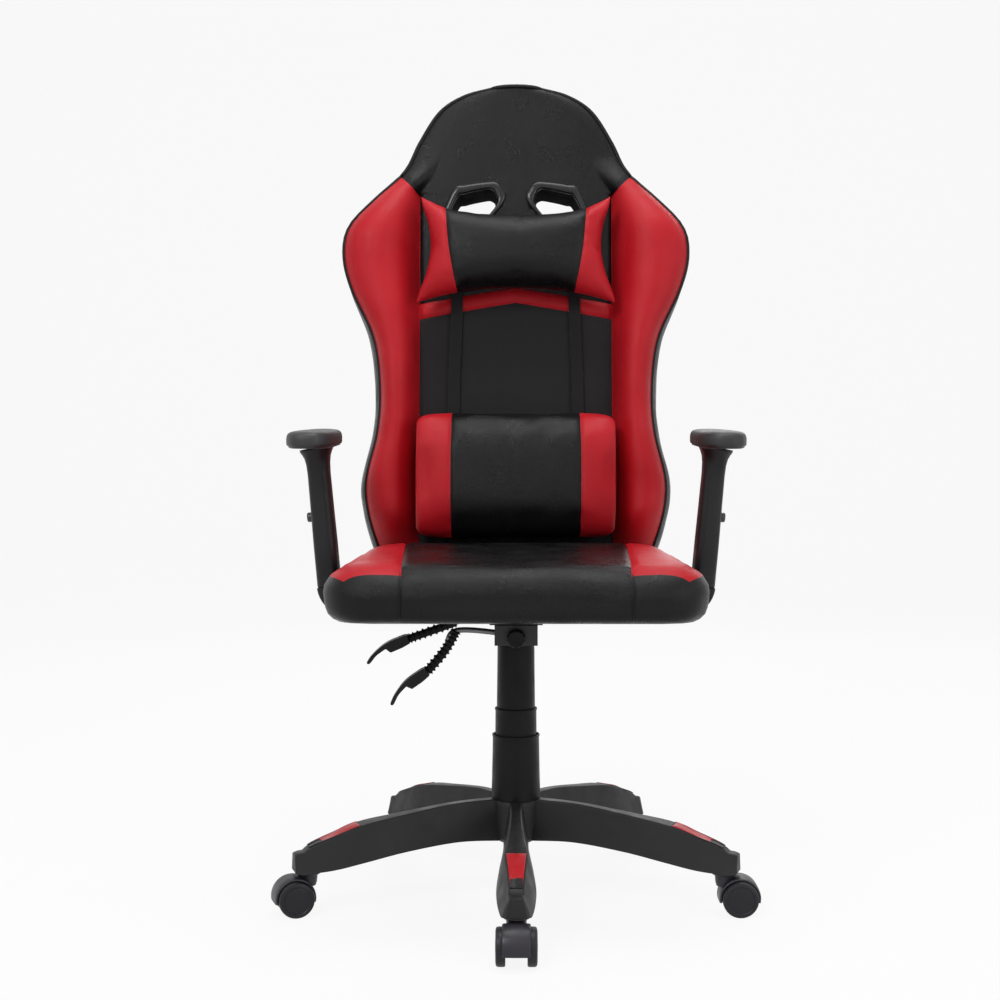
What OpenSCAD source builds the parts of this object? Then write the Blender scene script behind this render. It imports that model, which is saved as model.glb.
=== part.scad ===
// Gaming chair on a five-leg caster base, with height-adjustable arms and a reclining back.
// Millimetres. The chair faces -Y, +Z is up, and the origin is on the floor under the column.

/* [Base] */
// Reach of the star base, from the column axis to the leg tips
base_reach = 325; // [270:5:390]
// Radius of the base hub
hub_r = 34; // [31:1:45]
// Height of the base hub
hub_h = 58; // [48:1:70]
// Height of the hub's underside above the underside of the leg tips
leg_rise = 25; // [15:1:35]
// Thickness of a leg at its tip
leg_tip_h = 31; // [28:1:37]
// Wall thickness of the hollow legs
leg_wall = 4; // [3:0.5:5]
// Distance from the leg tip back to the caster stem
tip_setback = 20; // [18:1:24]
// Thickness of the coloured leg inserts
insert_t = 2; // [1.5:0.5:3]

/* [Casters] */
// Wheel diameter
wheel_d = 50; // [41:1:60]
// Width of one wheel
wheel_w = 13; // [10:1:16]
// Width of the hood's body between the two wheels
hood_w = 27; // [24:1:32]
// Distance from the stem axis to the axle
caster_trail = 20.5; // [18:0.5:25]
// Diameter of the caster stem
stem_d = 11; // [10:1:12]
// Length of the stem inside the leg
stem_len = 22; // [18:1:24]
// Diameter of the caster axle
axle_d = 6; // [5:1:8]

/* [Gas lift] */
// Outer diameter of the lift's outer tube
tube_d = 50; // [46:1:52]
// Height of the outer tube above the hub
tube_rise = 119; // [100:1:140]
// Diameter of the sliding gas cylinder
cylinder_d = 28; // [23:1:34]
// Diameter of the piston rod
piston_rod_d = 10; // [8:1:12]
// Travel of the seat height adjustment
lift_travel = 100; // [80:5:110]
// Wall thickness of the telescopic cover
cover_wall = 1.2; // [1:0.1:1.5]
// Length of the lower cover stage
cover_lower_h = 92; // [85:1:100]

/* [Mechanism] */
// Width of the mechanism housing
housing_w = 60; // [50:1:72]
// Height of the mechanism housing
housing_h = 28; // [26:1:34]
// Thickness of the housing's sheet steel
housing_t = 3; // [2:0.5:4]
// Height of the seat plate that stands on the housing
seat_plate_h = 20; // [18:1:26]
// Diameter of the back's hinge pin
pivot_d = 10; // [8:1:12]
// Distance from the column axis back to the hinge pin
pivot_y = 150; // [140:1:165]
// Diameter of the lever rods
lever_d = 8; // [6:1:9]

/* [Seat] */
// Width of the seat cushion at its front
seat_w = 522; // [435:1:630]
// Distance from the column axis to the front of the cushion
seat_front = 245; // [220:1:270]
// Distance from the column axis to the rear of the cushion
seat_rear = 185; // [170:1:188]
// Thickness of the seat cushion above the board's underside
seat_t = 74; // [62:1:80]
// Thickness of the plywood seat board
board_t = 12; // [9:1:15]

/* [Arms] */
// Lean of the arm posts outwards, in degrees
arm_lean = 5; // [0:1:8]
// Gap between the seat's side and the arm post
arm_gap = 3; // [2:0.5:20]
// Thickness of the arm post
post_t = 32; // [26:1:39]
// Depth of the arm post, front to rear
post_w = 58; // [50:1:66]
// Thickness of the bar that the post slides on
arm_bar_t = 12; // [10:1:14]
// Height of the arm pad's top above the seat board's underside, with the arm lowered
arm_top = 250; // [230:5:290]
// Length of the arm pad
pad_l = 250; // [220:5:280]
// Width of the arm pad
pad_w = 68; // [60:1:90]
// Thickness of the arm pad
pad_t = 24; // [18:1:30]

/* [Back] */
// Tilt of the backrest at rest, in degrees
back_tilt = 8; // [4:1:14]
// Height of the backrest along its own plane
back_h = 741; // [700:1:780]
// Half of the backrest's greatest width
back_half_w = 268; // [250:1:280]
// Thickness of the backrest in the middle
back_t = 72; // [60:1:90]
// How far the side wings stand forward
wing_t = 50; // [30:1:60]
// Half of the width of the centre panel
panel_half_w = 160; // [158:1:175]
// Thickness of that bar
back_bar_t = 8; // [6:1:10]

/* [Pillows] */
// Half of the head pillow's width at its lower corners
head_pillow_half_w = 156; // [140:1:157]
// Half of the lumbar pillow's width
lumbar_half_w = 152; // [130:1:157]
// Height of the lumbar pillow
lumbar_h = 185; // [150:1:220]
// Thickness of the pillows
pillow_t = 84; // [60:1:95]
// Width of the elastic straps
strap_w = 18; // [12:1:24]

/* [Hidden] */
$fn = 96;
LEGS = 5;
LEG_TURN = -90;
// Heading of each caster's trail, in degrees
CASTER_HEADINGS = [-90, 0, 54, 126, 199];

// Clearances
run_gap = 0.05;        // radial clearance of pins, shafts and stems
slide_gap = 0.3;       // clearance of sliding and turning parts
part_gap = 0.5;        // clearance between wheels and hood

// Casters
wheel_r = wheel_d / 2;
hood_clear = 0.7;
hood_t = 3;
hood_rim_w = 5;
hood_r = wheel_r + hood_clear + hood_t;
hood_skirt = 5.5;      // how far the hood reaches below the axle
caster_h = wheel_d + 10;
disc_h = 3;
disc_r = 18;
boss_r = 12;
stem_pitch_r = base_reach - tip_setback;

// Base heights
hub_lap = 5;            // how far a leg and the lift tube go into the hub
hub_bottom = caster_h + leg_rise;
hub_top = hub_bottom + hub_h;
tip_top = caster_h + leg_tip_h;
leg_root = hub_r - hub_lap;
// Leg stations: place along the leg, underside rise, top rise, half-widths at the underside and top
LEG_STATIONS = [
    [0, 1, 1, 18, 9],
    [0.21, 1.1, 0.96, 18, 8],
    [0.465, 0.84, 0.77, 23, 11],
    [0.675, 0.44, 0.58, 26.5, 15.5],
    [0.815, 0.14, 0.31, 25, 13],
    [0.943, 0, 0, 21, 10.5],
    [1, 0, -0.5, 17, 15]
];
INSERT_STATIONS = [[0.69, 13.5], [0.815, 10.9], [0.925, 8]];
insert_proud = 0.4;
insert_margin = 0.8;
// Places of the cross ribs along the leg, and half a rib's share of its length
LEG_RIBS = [0.13, 0.3, 0.45, 0.6, 0.73, 0.84];
rib_share = 0.005;

// Gas lift
tube_r = tube_d / 2;
tube_wall = 2;
tube_bottom = hub_bottom - hub_lap;
tube_top = hub_top + tube_rise;
tube_floor = 4;
bearing_h = 6;
guide_len = 60;
cylinder_below = 2;     // how far the cylinder reaches below its guide
head_room = 12;         // space left between the tube and the housing at the lowest seat height
cylinder_r = cylinder_d / 2;
piston_r = cylinder_r - 2;
cylinder_gland = 8;
cylinder_bottom = tube_top - guide_len - cylinder_below;
rod_r = piston_rod_d / 2;
housing_z = tube_top + lift_travel + head_room;
piston_z = cylinder_bottom + cylinder_gland + slide_gap;
rod_head = 3;
cylinder_top = housing_z + housing_h;

// Telescopic cover
cover_gap = 0.5;
cover_upper_r = tube_r + cover_wall + 1.4;
cover_middle_r = cover_upper_r + cover_gap + cover_wall + 1;
cover_lower_r = cover_middle_r + cover_gap + cover_wall + 1.3;
cover_flare = 2;
cover_lip = 1;
cover_upper_h = lift_travel + 10;
cover_middle_h = 90;
cover_lap = 11;
cover_upper_z = housing_z - 2 - cover_upper_h;
cover_middle_z = cover_upper_z + cover_lap - cover_middle_h;

// Mechanism heights
housing_top = housing_z + housing_h;
board_z = housing_top + seat_plate_h;
housing_front = -85;
housing_rear = pivot_y + 15;
collar_r = cylinder_r + 7;
barrel_wall = 5;
pivot_r = pivot_d / 2;
pivot_z = housing_top - housing_t - pivot_r - barrel_wall - 1;
barrel_r = pivot_r + barrel_wall;
SEAT_PLATE = [housing_w + 14, 160];      // width and length of the seat plate's box
FLANGE = [170, 180];         // width and length of the seat plate's flange
flange_t = 4;
bolt_r = 4;
bolt_head_r = 7;
bolt_head_h = 4;
bolt_grip = 10;
PLATE_BOLTS = [70, 75];      // half spacings of the seat plate's bolts
foot_t = 8;
ARM_BOLTS = [140, 14];       // first arm bolt's X and its half spacing in Y
ARM_BOLT_STEP = 50;
lever_r = lever_d / 2;
knob_r = 13;
knob_l = 16;
knob_shaft_r = 4;
knob_z = housing_z + 11;
shaft_in = 44;
height_lever_y = -8;
height_lever_z = housing_top + 8;
recline_lever_y = -62;
recline_lever_z = housing_z + 14;
recline_room = 2.2;          // gap round the recline lever in the hole that it tilts through
sleeve_r = 6.2;
rib_r = 7.4;
sleeve_start = 3;            // gap between a bend and the start of a sleeve
paddle_lap = 8;              // length of the rod inside the height lever's paddle
paddle_w = 26;
height_paddle_slope = 20;
recline_paddle_slope = 32;
// Bosses that the levers tilt on, just inside the walls that the rods pass through
lever_pivot_r = lever_r + 0.5;
lever_pivot_l = 14;
pivot_inset = lever_pivot_r + part_gap;
height_pivot_x = pivot_inset + housing_t - SEAT_PLATE[0] / 2;
recline_pivot_x = pivot_inset + housing_t - housing_w / 2;
// Routes of the two levers in X, and in Z from their holes, up to the start of their paddles
HEIGHT_ROUTE = [[0, 0], [-45, 0], [-86, -13], [-160, -39]];
RECLINE_ROUTE = [[-14, 0], [-84, 4], [-100, -24], [-126, -56]];

// Seat outline: corner circles of the cushion
seat_corner_r = 60;
seat_taper = 23;
seat_rear_r = 50;
board_inset = 26;
// Levels of the cushion: how far its outline is drawn in, height above the board's underside, and thickness
CUSHION_LEVELS = [[16, 0, 1], [0, 24, 20], [14, seat_t - 14, 2], [44, seat_t - 1, 1]];

// Arms
seat_front_y = seat_front - seat_corner_r;
seat_rear_y = seat_rear - seat_rear_r;
// Half of the cushion's width beside the column
seat_side = seat_w / 2 - seat_taper * seat_front_y / (seat_front_y + seat_rear_y);
arm_bend = 27;               // height of the bracket's bend above the board's underside
arm_bend_z = board_z + arm_bend;
arm_x = seat_side + arm_gap + post_t / 2 + 0.5;      // post centre at the bend's height
post_l = (arm_top - pad_t - arm_bend) / cos(arm_lean);
arm_bar_w = 44;
arm_bar_l = 120;
arm_cavity_l = 132;
pad_corner = 20;
pad_edge = 3;
ARM_HEAD = [46, 90, 8];      // width, length and thickness of the flat head under the pad
button_r = 7;
button_along = 100;
button_travel = 4;
button_proud = 7;
bend_r = 45;
bend_drop = 6;               // how far the bend hangs below the bracket's foot

// Back plane: origin at the lower front edge of the centre panel
BACK_Y = 195;
BACK_Z = board_z + 48;
// Right half of the back's outline, from the bottom up: share of the half-width, share of the height
BACK_CURVE = [
    [0.75, -0.02], [0.83, 0.03], [0.895, 0.145], [0.83, 0.26], [0.815, 0.35], [0.85, 0.46],
    [0.955, 0.56], [1, 0.635], [0.97, 0.695], [0.83, 0.755], [0.655, 0.82], [0.565, 0.885],
    [0.45, 0.95], [0.31, 0.984], [0.15, 1]
];
// Corners of the right head slot, in the back's own plane
SLOT = [[33, 549], [32, 571], [39, 578], [49, 578], [80, 571], [93, 563], [128, 492], [118, 482], [88, 484]];
slot_liner = 3;
slot_flange = 14;
trim_t = 4;
frame_inset = 34;
frame_w = 14;
frame_v = 32;
frame_t = 10;
CROSSBARS = [95, 190];
crossbar_w = 16;
// Mounting channel: half-width, lower end, upper end and wall
MOUNT_PLATE = [44, 82, 212, 4];
// Back bolts: half spacing across, and the two heights
BACK_BOLTS = [14, 130, 170];
back_bolt_l = 16;
upright_top = 225;
back_bar_w = housing_w - 2 * housing_t - 2 * part_gap;
bar_bend_r = 40;
strap_x = 92;
strap_t = 1.5;
strap_gap = 0.3;
strap_slot_u = 492;
pillow_v = 6;
lumbar_u = 30;

// ---------- helpers ----------

// Closed solid through a row of four-point rings
module loft(rings) {
    n = len(rings);
    points = [for (ring = rings) each ring];
    sides = [for (i = [0:n - 2], k = [0:3]) each [
        [4 * i + k, 4 * i + 4 + (k + 1) % 4, 4 * i + (k + 1) % 4],
        [4 * i + k, 4 * i + 4 + k, 4 * i + 4 + (k + 1) % 4]]];
    last = 4 * (n - 1);
    ends = [[0, 2, 3], [0, 1, 2], [last, last + 2, last + 1], [last, last + 3, last + 2]];
    polyhedron(points, concat(sides, ends));
}

module tube(r_out, r_in, h) {
    difference() {
        cylinder(r = r_out, h = h);
        translate([0, 0, -1]) cylinder(r = r_in, h = h + 2);
    }
}

// Round bar through a list of points, with slightly fuller joints
module bar_path(points, r) {
    for (i = [0:len(points) - 2]) {
        a = points[i];
        d = points[i + 1] - a;
        translate(a) rotate([0, acos(d[2] / norm(d)), atan2(d[1], d[0])]) cylinder(r = r, h = norm(d));
    }
    if (len(points) > 2)
        for (i = [1:len(points) - 2]) translate(points[i]) sphere(r = r + 0.4, $fn = 48);
}

// Both sides of a symmetric pair
module both_sides() {
    children();
    mirror([1, 0, 0]) children();
}

// Frame of the tilted back: X across, Y through the thickness, Z along the height
module on_back() {
    translate([0, BACK_Y, BACK_Z]) rotate([-back_tilt, 0, 0]) children();
}

// Outline in the back's plane, extruded from depth v0 to depth v1
module back_slab(points, v0, v1) {
    translate([0, v1, 0]) rotate([90, 0, 0]) linear_extrude(height = v1 - v0) polygon(points);
}

function centre_of(points) = [for (k = [0, 1])
    (min([for (p = points) p[k]]) + max([for (p = points) p[k]])) / 2];

// Outline with each point moved away from the middle by a distance
function grow(points, d) = let (c = centre_of(points)) [for (p = points) p + d * (p - c) / norm(p - c)];

function catmull(a, b, c, d, t) =
    0.5 * (2 * b + (c - a) * t + (2 * a - 5 * b + 4 * c - d) * t * t + (3 * b - a - 3 * c + d) * t * t * t);

// Smooth right half of the back's outline, drawn in by a distance
function back_half(inset) = let (
    n = len(BACK_CURVE),
    raw = [for (p = BACK_CURVE) [p[0] * (back_half_w - inset), inset + p[1] * (back_h - 2 * inset)]]
) [for (i = [0:n - 2], t = [0, 1 / 3, 2 / 3])
    catmull(raw[max(i - 1, 0)], raw[i], raw[i + 1], raw[min(i + 2, n - 1)], t)];

function mirrored(points) = [for (i = [len(points) - 1:-1:0]) [-points[i][0], points[i][1]]];

function back_outline(inset) = concat(back_half(inset), mirrored(back_half(inset)));

// ---------- base ----------

function leg_r(t) = leg_root + t * (base_reach - leg_root);
function leg_under(t) = caster_h + leg_rise * lookup(t, [for (s = LEG_STATIONS) [s[0], s[1]]]);
function leg_top(t) = tip_top + (hub_top - tip_top) * lookup(t, [for (s = LEG_STATIONS) [s[0], s[2]]]);
function leg_low_w(t) = lookup(t, [for (s = LEG_STATIONS) [s[0], s[3]]]);
function leg_top_w(t) = lookup(t, [for (s = LEG_STATIONS) [s[0], s[4]]]);

function ring4(r, low_w, top_w, z0, z1) = [[r, -low_w, z0], [r, low_w, z0], [r, top_w, z1], [r, -top_w, z1]];

module leg_solid() {
    loft([for (s = LEG_STATIONS) ring4(leg_r(s[0]), s[3], s[4], leg_under(s[0]), leg_top(s[0]))]);
}

// Pockets on the underside, with the cross ribs left between them
module leg_pockets() {
    for (i = [0:len(LEG_RIBS) - 2]) {
        a = LEG_RIBS[i] + rib_share;
        b = LEG_RIBS[i + 1] - rib_share;
        spots = concat([a], [for (s = LEG_STATIONS) if (s[0] > a && s[0] < b) s[0]], [b]);
        loft([for (t = spots) ring4(leg_r(t), leg_low_w(t) - leg_wall, leg_top_w(t) - leg_wall / 2,
            leg_under(t) - 1, leg_top(t) - leg_wall - insert_t)]);
    }
}

// Insert, or with a margin the pocket that it lies in
module insert_plate(margin) {
    share = margin / (base_reach - leg_root);
    last = len(INSERT_STATIONS) - 1;
    cut = margin > 0 ? 5 : 0;
    loft([for (i = [0:last])
        let (
            t = INSERT_STATIONS[i][0] + (i == 0 ? -share : i == last ? share : 0),
            w = INSERT_STATIONS[i][1] + margin
        ) ring4(leg_r(t), w, w, leg_top(t) + insert_proud - insert_t, leg_top(t) + insert_proud + cut)]);
}

module base_star() {
    color("#2b2b2d") difference() {
        union() {
            translate([0, 0, hub_bottom]) cylinder(r = hub_r, h = hub_h);
            for (i = [0:LEGS - 1]) rotate(LEG_TURN + i * 360 / LEGS) difference() {
                leg_solid();
                leg_pockets();
                insert_plate(insert_margin);
                translate([stem_pitch_r, 0, caster_h - 1])
                    cylinder(d = stem_d + 2 * run_gap, h = stem_len + 2);
            }
        }
        translate([0, 0, hub_bottom - 20]) cylinder(r = tube_r, h = hub_h + 40);
    }
}

module base_inserts() {
    color("#b01e26") for (i = [0:LEGS - 1]) rotate(LEG_TURN + i * 360 / LEGS) insert_plate(0);
}

// ---------- casters: stem on the Z axis, axle along Y, trail towards +X ----------

module on_axle() {
    translate([caster_trail, 0, wheel_r]) rotate([90, 0, 0]) children();
}

module hood_shape() {
    color("#2a282b") difference() {
        union() {
            on_axle() cylinder(r = hood_r, h = hood_w + 2 * hood_rim_w, center = true);
            translate([0, 0, wheel_r]) cylinder(r = boss_r, h = caster_h - disc_h - wheel_r);
            translate([0, 0, caster_h - disc_h]) cylinder(r = disc_r, h = disc_h);
        }
        for (side = [-1, 1]) on_axle() translate([0, 0, side * (hood_w / 2 + wheel_w)])
            cylinder(r = wheel_r + hood_clear, h = 2 * wheel_w, center = true);
        translate([caster_trail, 0, wheel_r - hood_skirt - 50]) cube([200, 100, 100], center = true);
        on_axle() cylinder(d = axle_d, h = 100, center = true);
        translate([0, 0, caster_h - 20]) cylinder(d = stem_d, h = 40);
    }
}

module pins_shape() {
    color("silver") {
        translate([0, 0, caster_h - 20]) cylinder(d = stem_d, h = 20 + stem_len);
        on_axle() cylinder(d = axle_d, h = hood_w + 2 * (part_gap + wheel_w) - 3, center = true);
    }
}

module wheel_shape() {
    color("#2a282b") translate([0, 0, hood_w / 2 + part_gap]) rotate_extrude() polygon([
        [axle_d / 2 + run_gap, 0], [wheel_r - 1.5, 0], [wheel_r - 0.4, 0.6], [wheel_r, 1.8],
        [wheel_r, wheel_w - 3.6], [wheel_r - 0.8, wheel_w - 1.8], [wheel_r - 2.4, wheel_w - 0.8],
        [wheel_r * 0.6, wheel_w], [axle_d / 2 + run_gap, wheel_w]]);
}

module at_caster(i) {
    rotate(LEG_TURN + i * 360 / LEGS) translate([stem_pitch_r, 0, 0])
        rotate(CASTER_HEADINGS[i] - LEG_TURN - i * 360 / LEGS) children();
}

module caster_hood(i) { at_caster(i) hood_shape(); }
module caster_pins(i) { at_caster(i) pins_shape(); }
module wheel_a(i) { at_caster(i) on_axle() wheel_shape(); }
module wheel_b(i) { at_caster(i) on_axle() mirror([0, 0, 1]) wheel_shape(); }

// ---------- gas lift ----------

module gas_tube() {
    color("#1f1f21") difference() {
        translate([0, 0, tube_bottom]) cylinder(r = tube_r, h = tube_top - tube_bottom);
        translate([0, 0, tube_bottom + tube_floor]) cylinder(r = tube_r - tube_wall, h = 400);
        translate([0, 0, tube_bottom - 1]) cylinder(r = rod_r + run_gap, h = 10);
    }
}

module guide_bush() {
    color("white") translate([0, 0, tube_top - guide_len])
        tube(tube_r - tube_wall, cylinder_r + run_gap, guide_len);
}

module thrust_bearing() {
    color("silver") translate([0, 0, tube_bottom + tube_floor]) tube(rod_r + 8, rod_r + slide_gap, bearing_h);
}

module piston_rod() {
    color("silver") union() {
        translate([0, 0, tube_bottom - rod_head])
            cylinder(r = rod_r, h = piston_z - tube_bottom + rod_head + 1);
        translate([0, 0, tube_bottom - rod_head - run_gap]) cylinder(r = rod_r + rod_head, h = rod_head);
        translate([0, 0, tube_bottom + tube_floor + bearing_h + run_gap]) cylinder(r = rod_r + 4, h = 2);
        translate([0, 0, piston_z]) cylinder(r = piston_r - run_gap, h = 14);
    }
}

module gas_cylinder() {
    color("silver") difference() {
        translate([0, 0, cylinder_bottom]) cylinder(r = cylinder_r, h = cylinder_top - cylinder_bottom);
        translate([0, 0, cylinder_bottom + cylinder_gland])
            cylinder(r = piston_r, h = cylinder_top - cylinder_bottom - cylinder_gland - 8);
        translate([0, 0, cylinder_bottom - 1]) cylinder(r = rod_r + run_gap, h = 20);
    }
}

// One conical stage with a flared rim; its wall leans in by flare over its length
module cover_stage(r, h, flare) {
    rotate_extrude() polygon([
        [r, 0], [r - flare, h - 3], [r - flare + cover_lip, h - 1], [r - flare + cover_lip, h],
        [r - flare - cover_wall, h], [r - cover_wall, 0]]);
}

module cover_lower() {
    color("#222224") translate([0, 0, hub_top])
        cover_stage(cover_lower_r + cover_flare, cover_lower_h, cover_flare);
}

module cover_middle() {
    color("#222224") translate([0, 0, cover_middle_z]) cover_stage(cover_middle_r, cover_middle_h, 0.8);
}

module cover_upper() {
    straight = cover_upper_h - 8;
    color("#222224") translate([0, 0, cover_upper_z]) rotate_extrude() polygon([
        [cover_upper_r, 0], [cover_upper_r - 1, straight], [cover_upper_r - 1.8, cover_upper_h],
        [cylinder_r + slide_gap, cover_upper_h], [cylinder_r + slide_gap, cover_upper_h - 2],
        [cover_upper_r - 1.8 - cover_wall, cover_upper_h - 2], [cover_upper_r - 1 - cover_wall, straight],
        [cover_upper_r - cover_wall, 0]]);
}

// ---------- mechanism ----------

module centred_box(w, y0, y1, z0, z1) {
    translate([-w / 2, y0, z0]) cube([w, y1 - y0, z1 - z0]);
}

// Pressed steel tray, open below, with a collar welded round the gas lift's bore
module mech_housing() {
    color("#1c1c1e") difference() {
        union() {
            difference() {
                centred_box(housing_w, housing_front, housing_rear, housing_z, housing_top);
                centred_box(housing_w - 2 * housing_t, housing_front + housing_t, housing_rear + 1,
                    housing_z - 1, housing_top - housing_t);
            }
            translate([0, 0, housing_z - 2]) cylinder(r = collar_r, h = housing_h);
        }
        translate([0, 0, housing_z - 5]) cylinder(r = cylinder_r, h = housing_h + 10);
        translate([0, pivot_y, pivot_z]) rotate([0, 90, 0]) cylinder(r = pivot_r, h = 200, center = true);
        translate([0, housing_front - 1, knob_z]) rotate([-90, 0, 0])
            cylinder(r = knob_shaft_r + run_gap, h = 10);
        translate([-housing_w / 2, recline_lever_y, recline_lever_z]) rotate([0, 90, 0])
            cylinder(r = lever_r + recline_room, h = 20, center = true);
    }
}

// Pressed plate that stands on the housing and carries the seat board
module seat_plate() {
    color("#1c1c1e") difference() {
        union() {
            centred_box(SEAT_PLATE[0], -SEAT_PLATE[1] / 2, SEAT_PLATE[1] / 2,
                housing_top, board_z - flange_t / 2);
            centred_box(FLANGE[0], -FLANGE[1] / 2, FLANGE[1] / 2, board_z - flange_t, board_z);
        }
        centred_box(SEAT_PLATE[0] - 2 * housing_t, housing_t - SEAT_PLATE[1] / 2,
            SEAT_PLATE[1] / 2 - housing_t, housing_top - 1, board_z - flange_t);
        for (x = [-1, 1], y = [-1, 1]) translate([x * PLATE_BOLTS[0], y * PLATE_BOLTS[1], board_z - 20])
            cylinder(r = bolt_r, h = 40);
        translate([-SEAT_PLATE[0] / 2, height_lever_y, height_lever_z]) rotate([0, 90, 0])
            cylinder(r = lever_r + 1, h = 20, center = true);
    }
}

module bolt_up(z) {
    translate([0, 0, z]) cylinder(r = bolt_r, h = board_z - z + bolt_grip);
    translate([0, 0, z - bolt_head_h]) cylinder(r = bolt_head_r, h = bolt_head_h, $fn = 6);
}

module arm_bolt_spots() {
    for (k = [0, 1], y = [-1, 1])
        translate([ARM_BOLTS[0] + k * ARM_BOLT_STEP, y * ARM_BOLTS[1], 0]) children();
}

module seat_bolts() {
    color("#8a8a8c") {
        for (x = [-1, 1], y = [-1, 1]) translate([x * PLATE_BOLTS[0], y * PLATE_BOLTS[1], 0])
            bolt_up(board_z - flange_t);
        both_sides() arm_bolt_spots() bolt_up(board_z - foot_t);
    }
}

module tension_knob() {
    color("#222224") translate([0, housing_front, knob_z]) rotate([90, 0, 0]) union() {
        translate([0, 0, slide_gap]) difference() {
            cylinder(r = knob_r, h = knob_l);
            for (a = [0:30:330]) rotate(a) translate([knob_r + 1, 0, -1])
                cylinder(r = 2.2, h = knob_l - 2, $fn = 24);
        }
        translate([0, 0, -shaft_in]) cylinder(r = knob_shaft_r, h = shaft_in + 2);
    }
}

// Coil spring round the knob's shaft, as the tube that its wire fills
module tension_spring() {
    color("silver") translate([0, housing_front + housing_t, knob_z]) rotate([-90, 0, 0])
        tube(knob_shaft_r + 4, knob_shaft_r + 1, shaft_in - 10);
}

// ---------- levers ----------

height_points = [for (p = HEIGHT_ROUTE) [p[0], height_lever_y, height_lever_z + p[1]]];
recline_points = [for (p = RECLINE_ROUTE) [p[0], recline_lever_y, recline_lever_z + p[1]]];

module sleeve_along(a, b, ribs) {
    d = b - a;
    step = norm(d) / ribs;
    translate(a) rotate([0, acos(d[2] / norm(d)), atan2(d[1], d[0])]) rotate_extrude() polygon(concat(
        [[lever_r, 0]],
        [for (i = [0:ribs - 1]) each
            [[sleeve_r, i * step], [rib_r, (i + 0.3) * step], [rib_r, (i + 0.7) * step]]],
        [[sleeve_r, norm(d)], [lever_r, norm(d)]]));
}

// Flat paddle that starts at a point, slopes down by an angle and ends in a thin curved blade
module paddle(start, angle) {
    translate(start) rotate([0, -angle, 0]) rotate([90, 0, 0])
        linear_extrude(height = paddle_w, center = true) polygon([
        [0, 6.5], [-15, 7.5], [-29, 6.6], [-40, 4.2], [-49, 0.7], [-59, -4], [-66.5, -8.6], [-68.5, -11.5],
        [-66.5, -14], [-63, -13.4], [-57, -9.5], [-50, -5.6], [-36, -1.7], [-31, -8.5], [-27, -9], [0, -6]]);
}

function toward(a, b) = (b - a) / norm(b - a);

// Round boss on a lever's rod, along the axis that it tilts about
module lever_pivot(x, y, z) {
    translate([x, y, z]) rotate([90, 0, 0]) cylinder(r = lever_pivot_r, h = lever_pivot_l, center = true);
}

module height_lever_rod() {
    color("#8a8a8c") {
        bar_path(height_points, lever_r);
        lever_pivot(height_pivot_x, height_lever_y, height_lever_z);
    }
}

module height_lever_sleeve() {
    d = toward(height_points[2], height_points[3]);
    color("#1b1b1c") sleeve_along(
        height_points[2] + sleeve_start * d, height_points[3] - (paddle_lap + sleeve_start) * d, 8);
}

module height_lever_paddle() {
    d = toward(height_points[2], height_points[3]);
    color("#1b1b1c") difference() {
        paddle(height_points[3] - paddle_lap * d, height_paddle_slope);
        bar_path([height_points[2], height_points[3]], lever_r);
    }
}

module recline_lever_rod() {
    color("#8a8a8c") {
        bar_path(recline_points, lever_r);
        lever_pivot(recline_pivot_x, recline_lever_y, recline_lever_z);
    }
}

module recline_lever_sleeve() {
    color("#1b1b1c") for (i = [1:len(recline_points) - 2]) {
        d = toward(recline_points[i], recline_points[i + 1]);
        sleeve_along(recline_points[i] + sleeve_start * d, recline_points[i + 1] - 2 * sleeve_start * d, 4);
    }
}

module recline_lever_paddle() {
    n = len(recline_points);
    d = toward(recline_points[n - 2], recline_points[n - 1]);
    color("#1b1b1c") difference() {
        paddle(recline_points[n - 1] - sleeve_start * d, recline_paddle_slope);
        bar_path([recline_points[n - 2], recline_points[n - 1]], lever_r);
    }
}

// ---------- seat ----------

// Seat outline as corner circles, drawn in by a distance, as a slab between two heights
module seat_corners(inset, z, h) {
    for (side = [-1, 1]) {
        translate([side * (seat_w / 2 - seat_corner_r), seat_corner_r - seat_front, z])
            cylinder(r = seat_corner_r - inset, h = h, $fn = 32);
        translate([side * (seat_w / 2 - seat_taper - seat_rear_r), seat_rear - seat_rear_r, z])
            cylinder(r = seat_rear_r - inset, h = h, $fn = 32);
    }
}

module board_shape(z, h) {
    hull() seat_corners(board_inset, z, h);
}

module seat_board() {
    color("#c8a878") difference() {
        board_shape(board_z, board_t);
        for (x = [-1, 1], y = [-1, 1]) translate([x * PLATE_BOLTS[0], y * PLATE_BOLTS[1], board_z - 1])
            cylinder(r = bolt_r, h = bolt_grip + 1);
        both_sides() arm_bolt_spots() translate([0, 0, board_z - 1]) cylinder(r = bolt_r, h = bolt_grip + 1);
    }
}

module seat_cushion() {
    color("#202022") difference() {
        hull() for (level = CUSHION_LEVELS) seat_corners(level[0], board_z + level[1], level[2]);
        board_shape(board_z - 1, board_t + 1);
    }
}

// ---------- arms: shown on the +X side ----------

// Frame of the leaning post, at the height where the bracket's bend ends
module on_post() {
    translate([arm_x, 0, arm_bend_z]) rotate([0, arm_lean, 0]) children();
}

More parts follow.
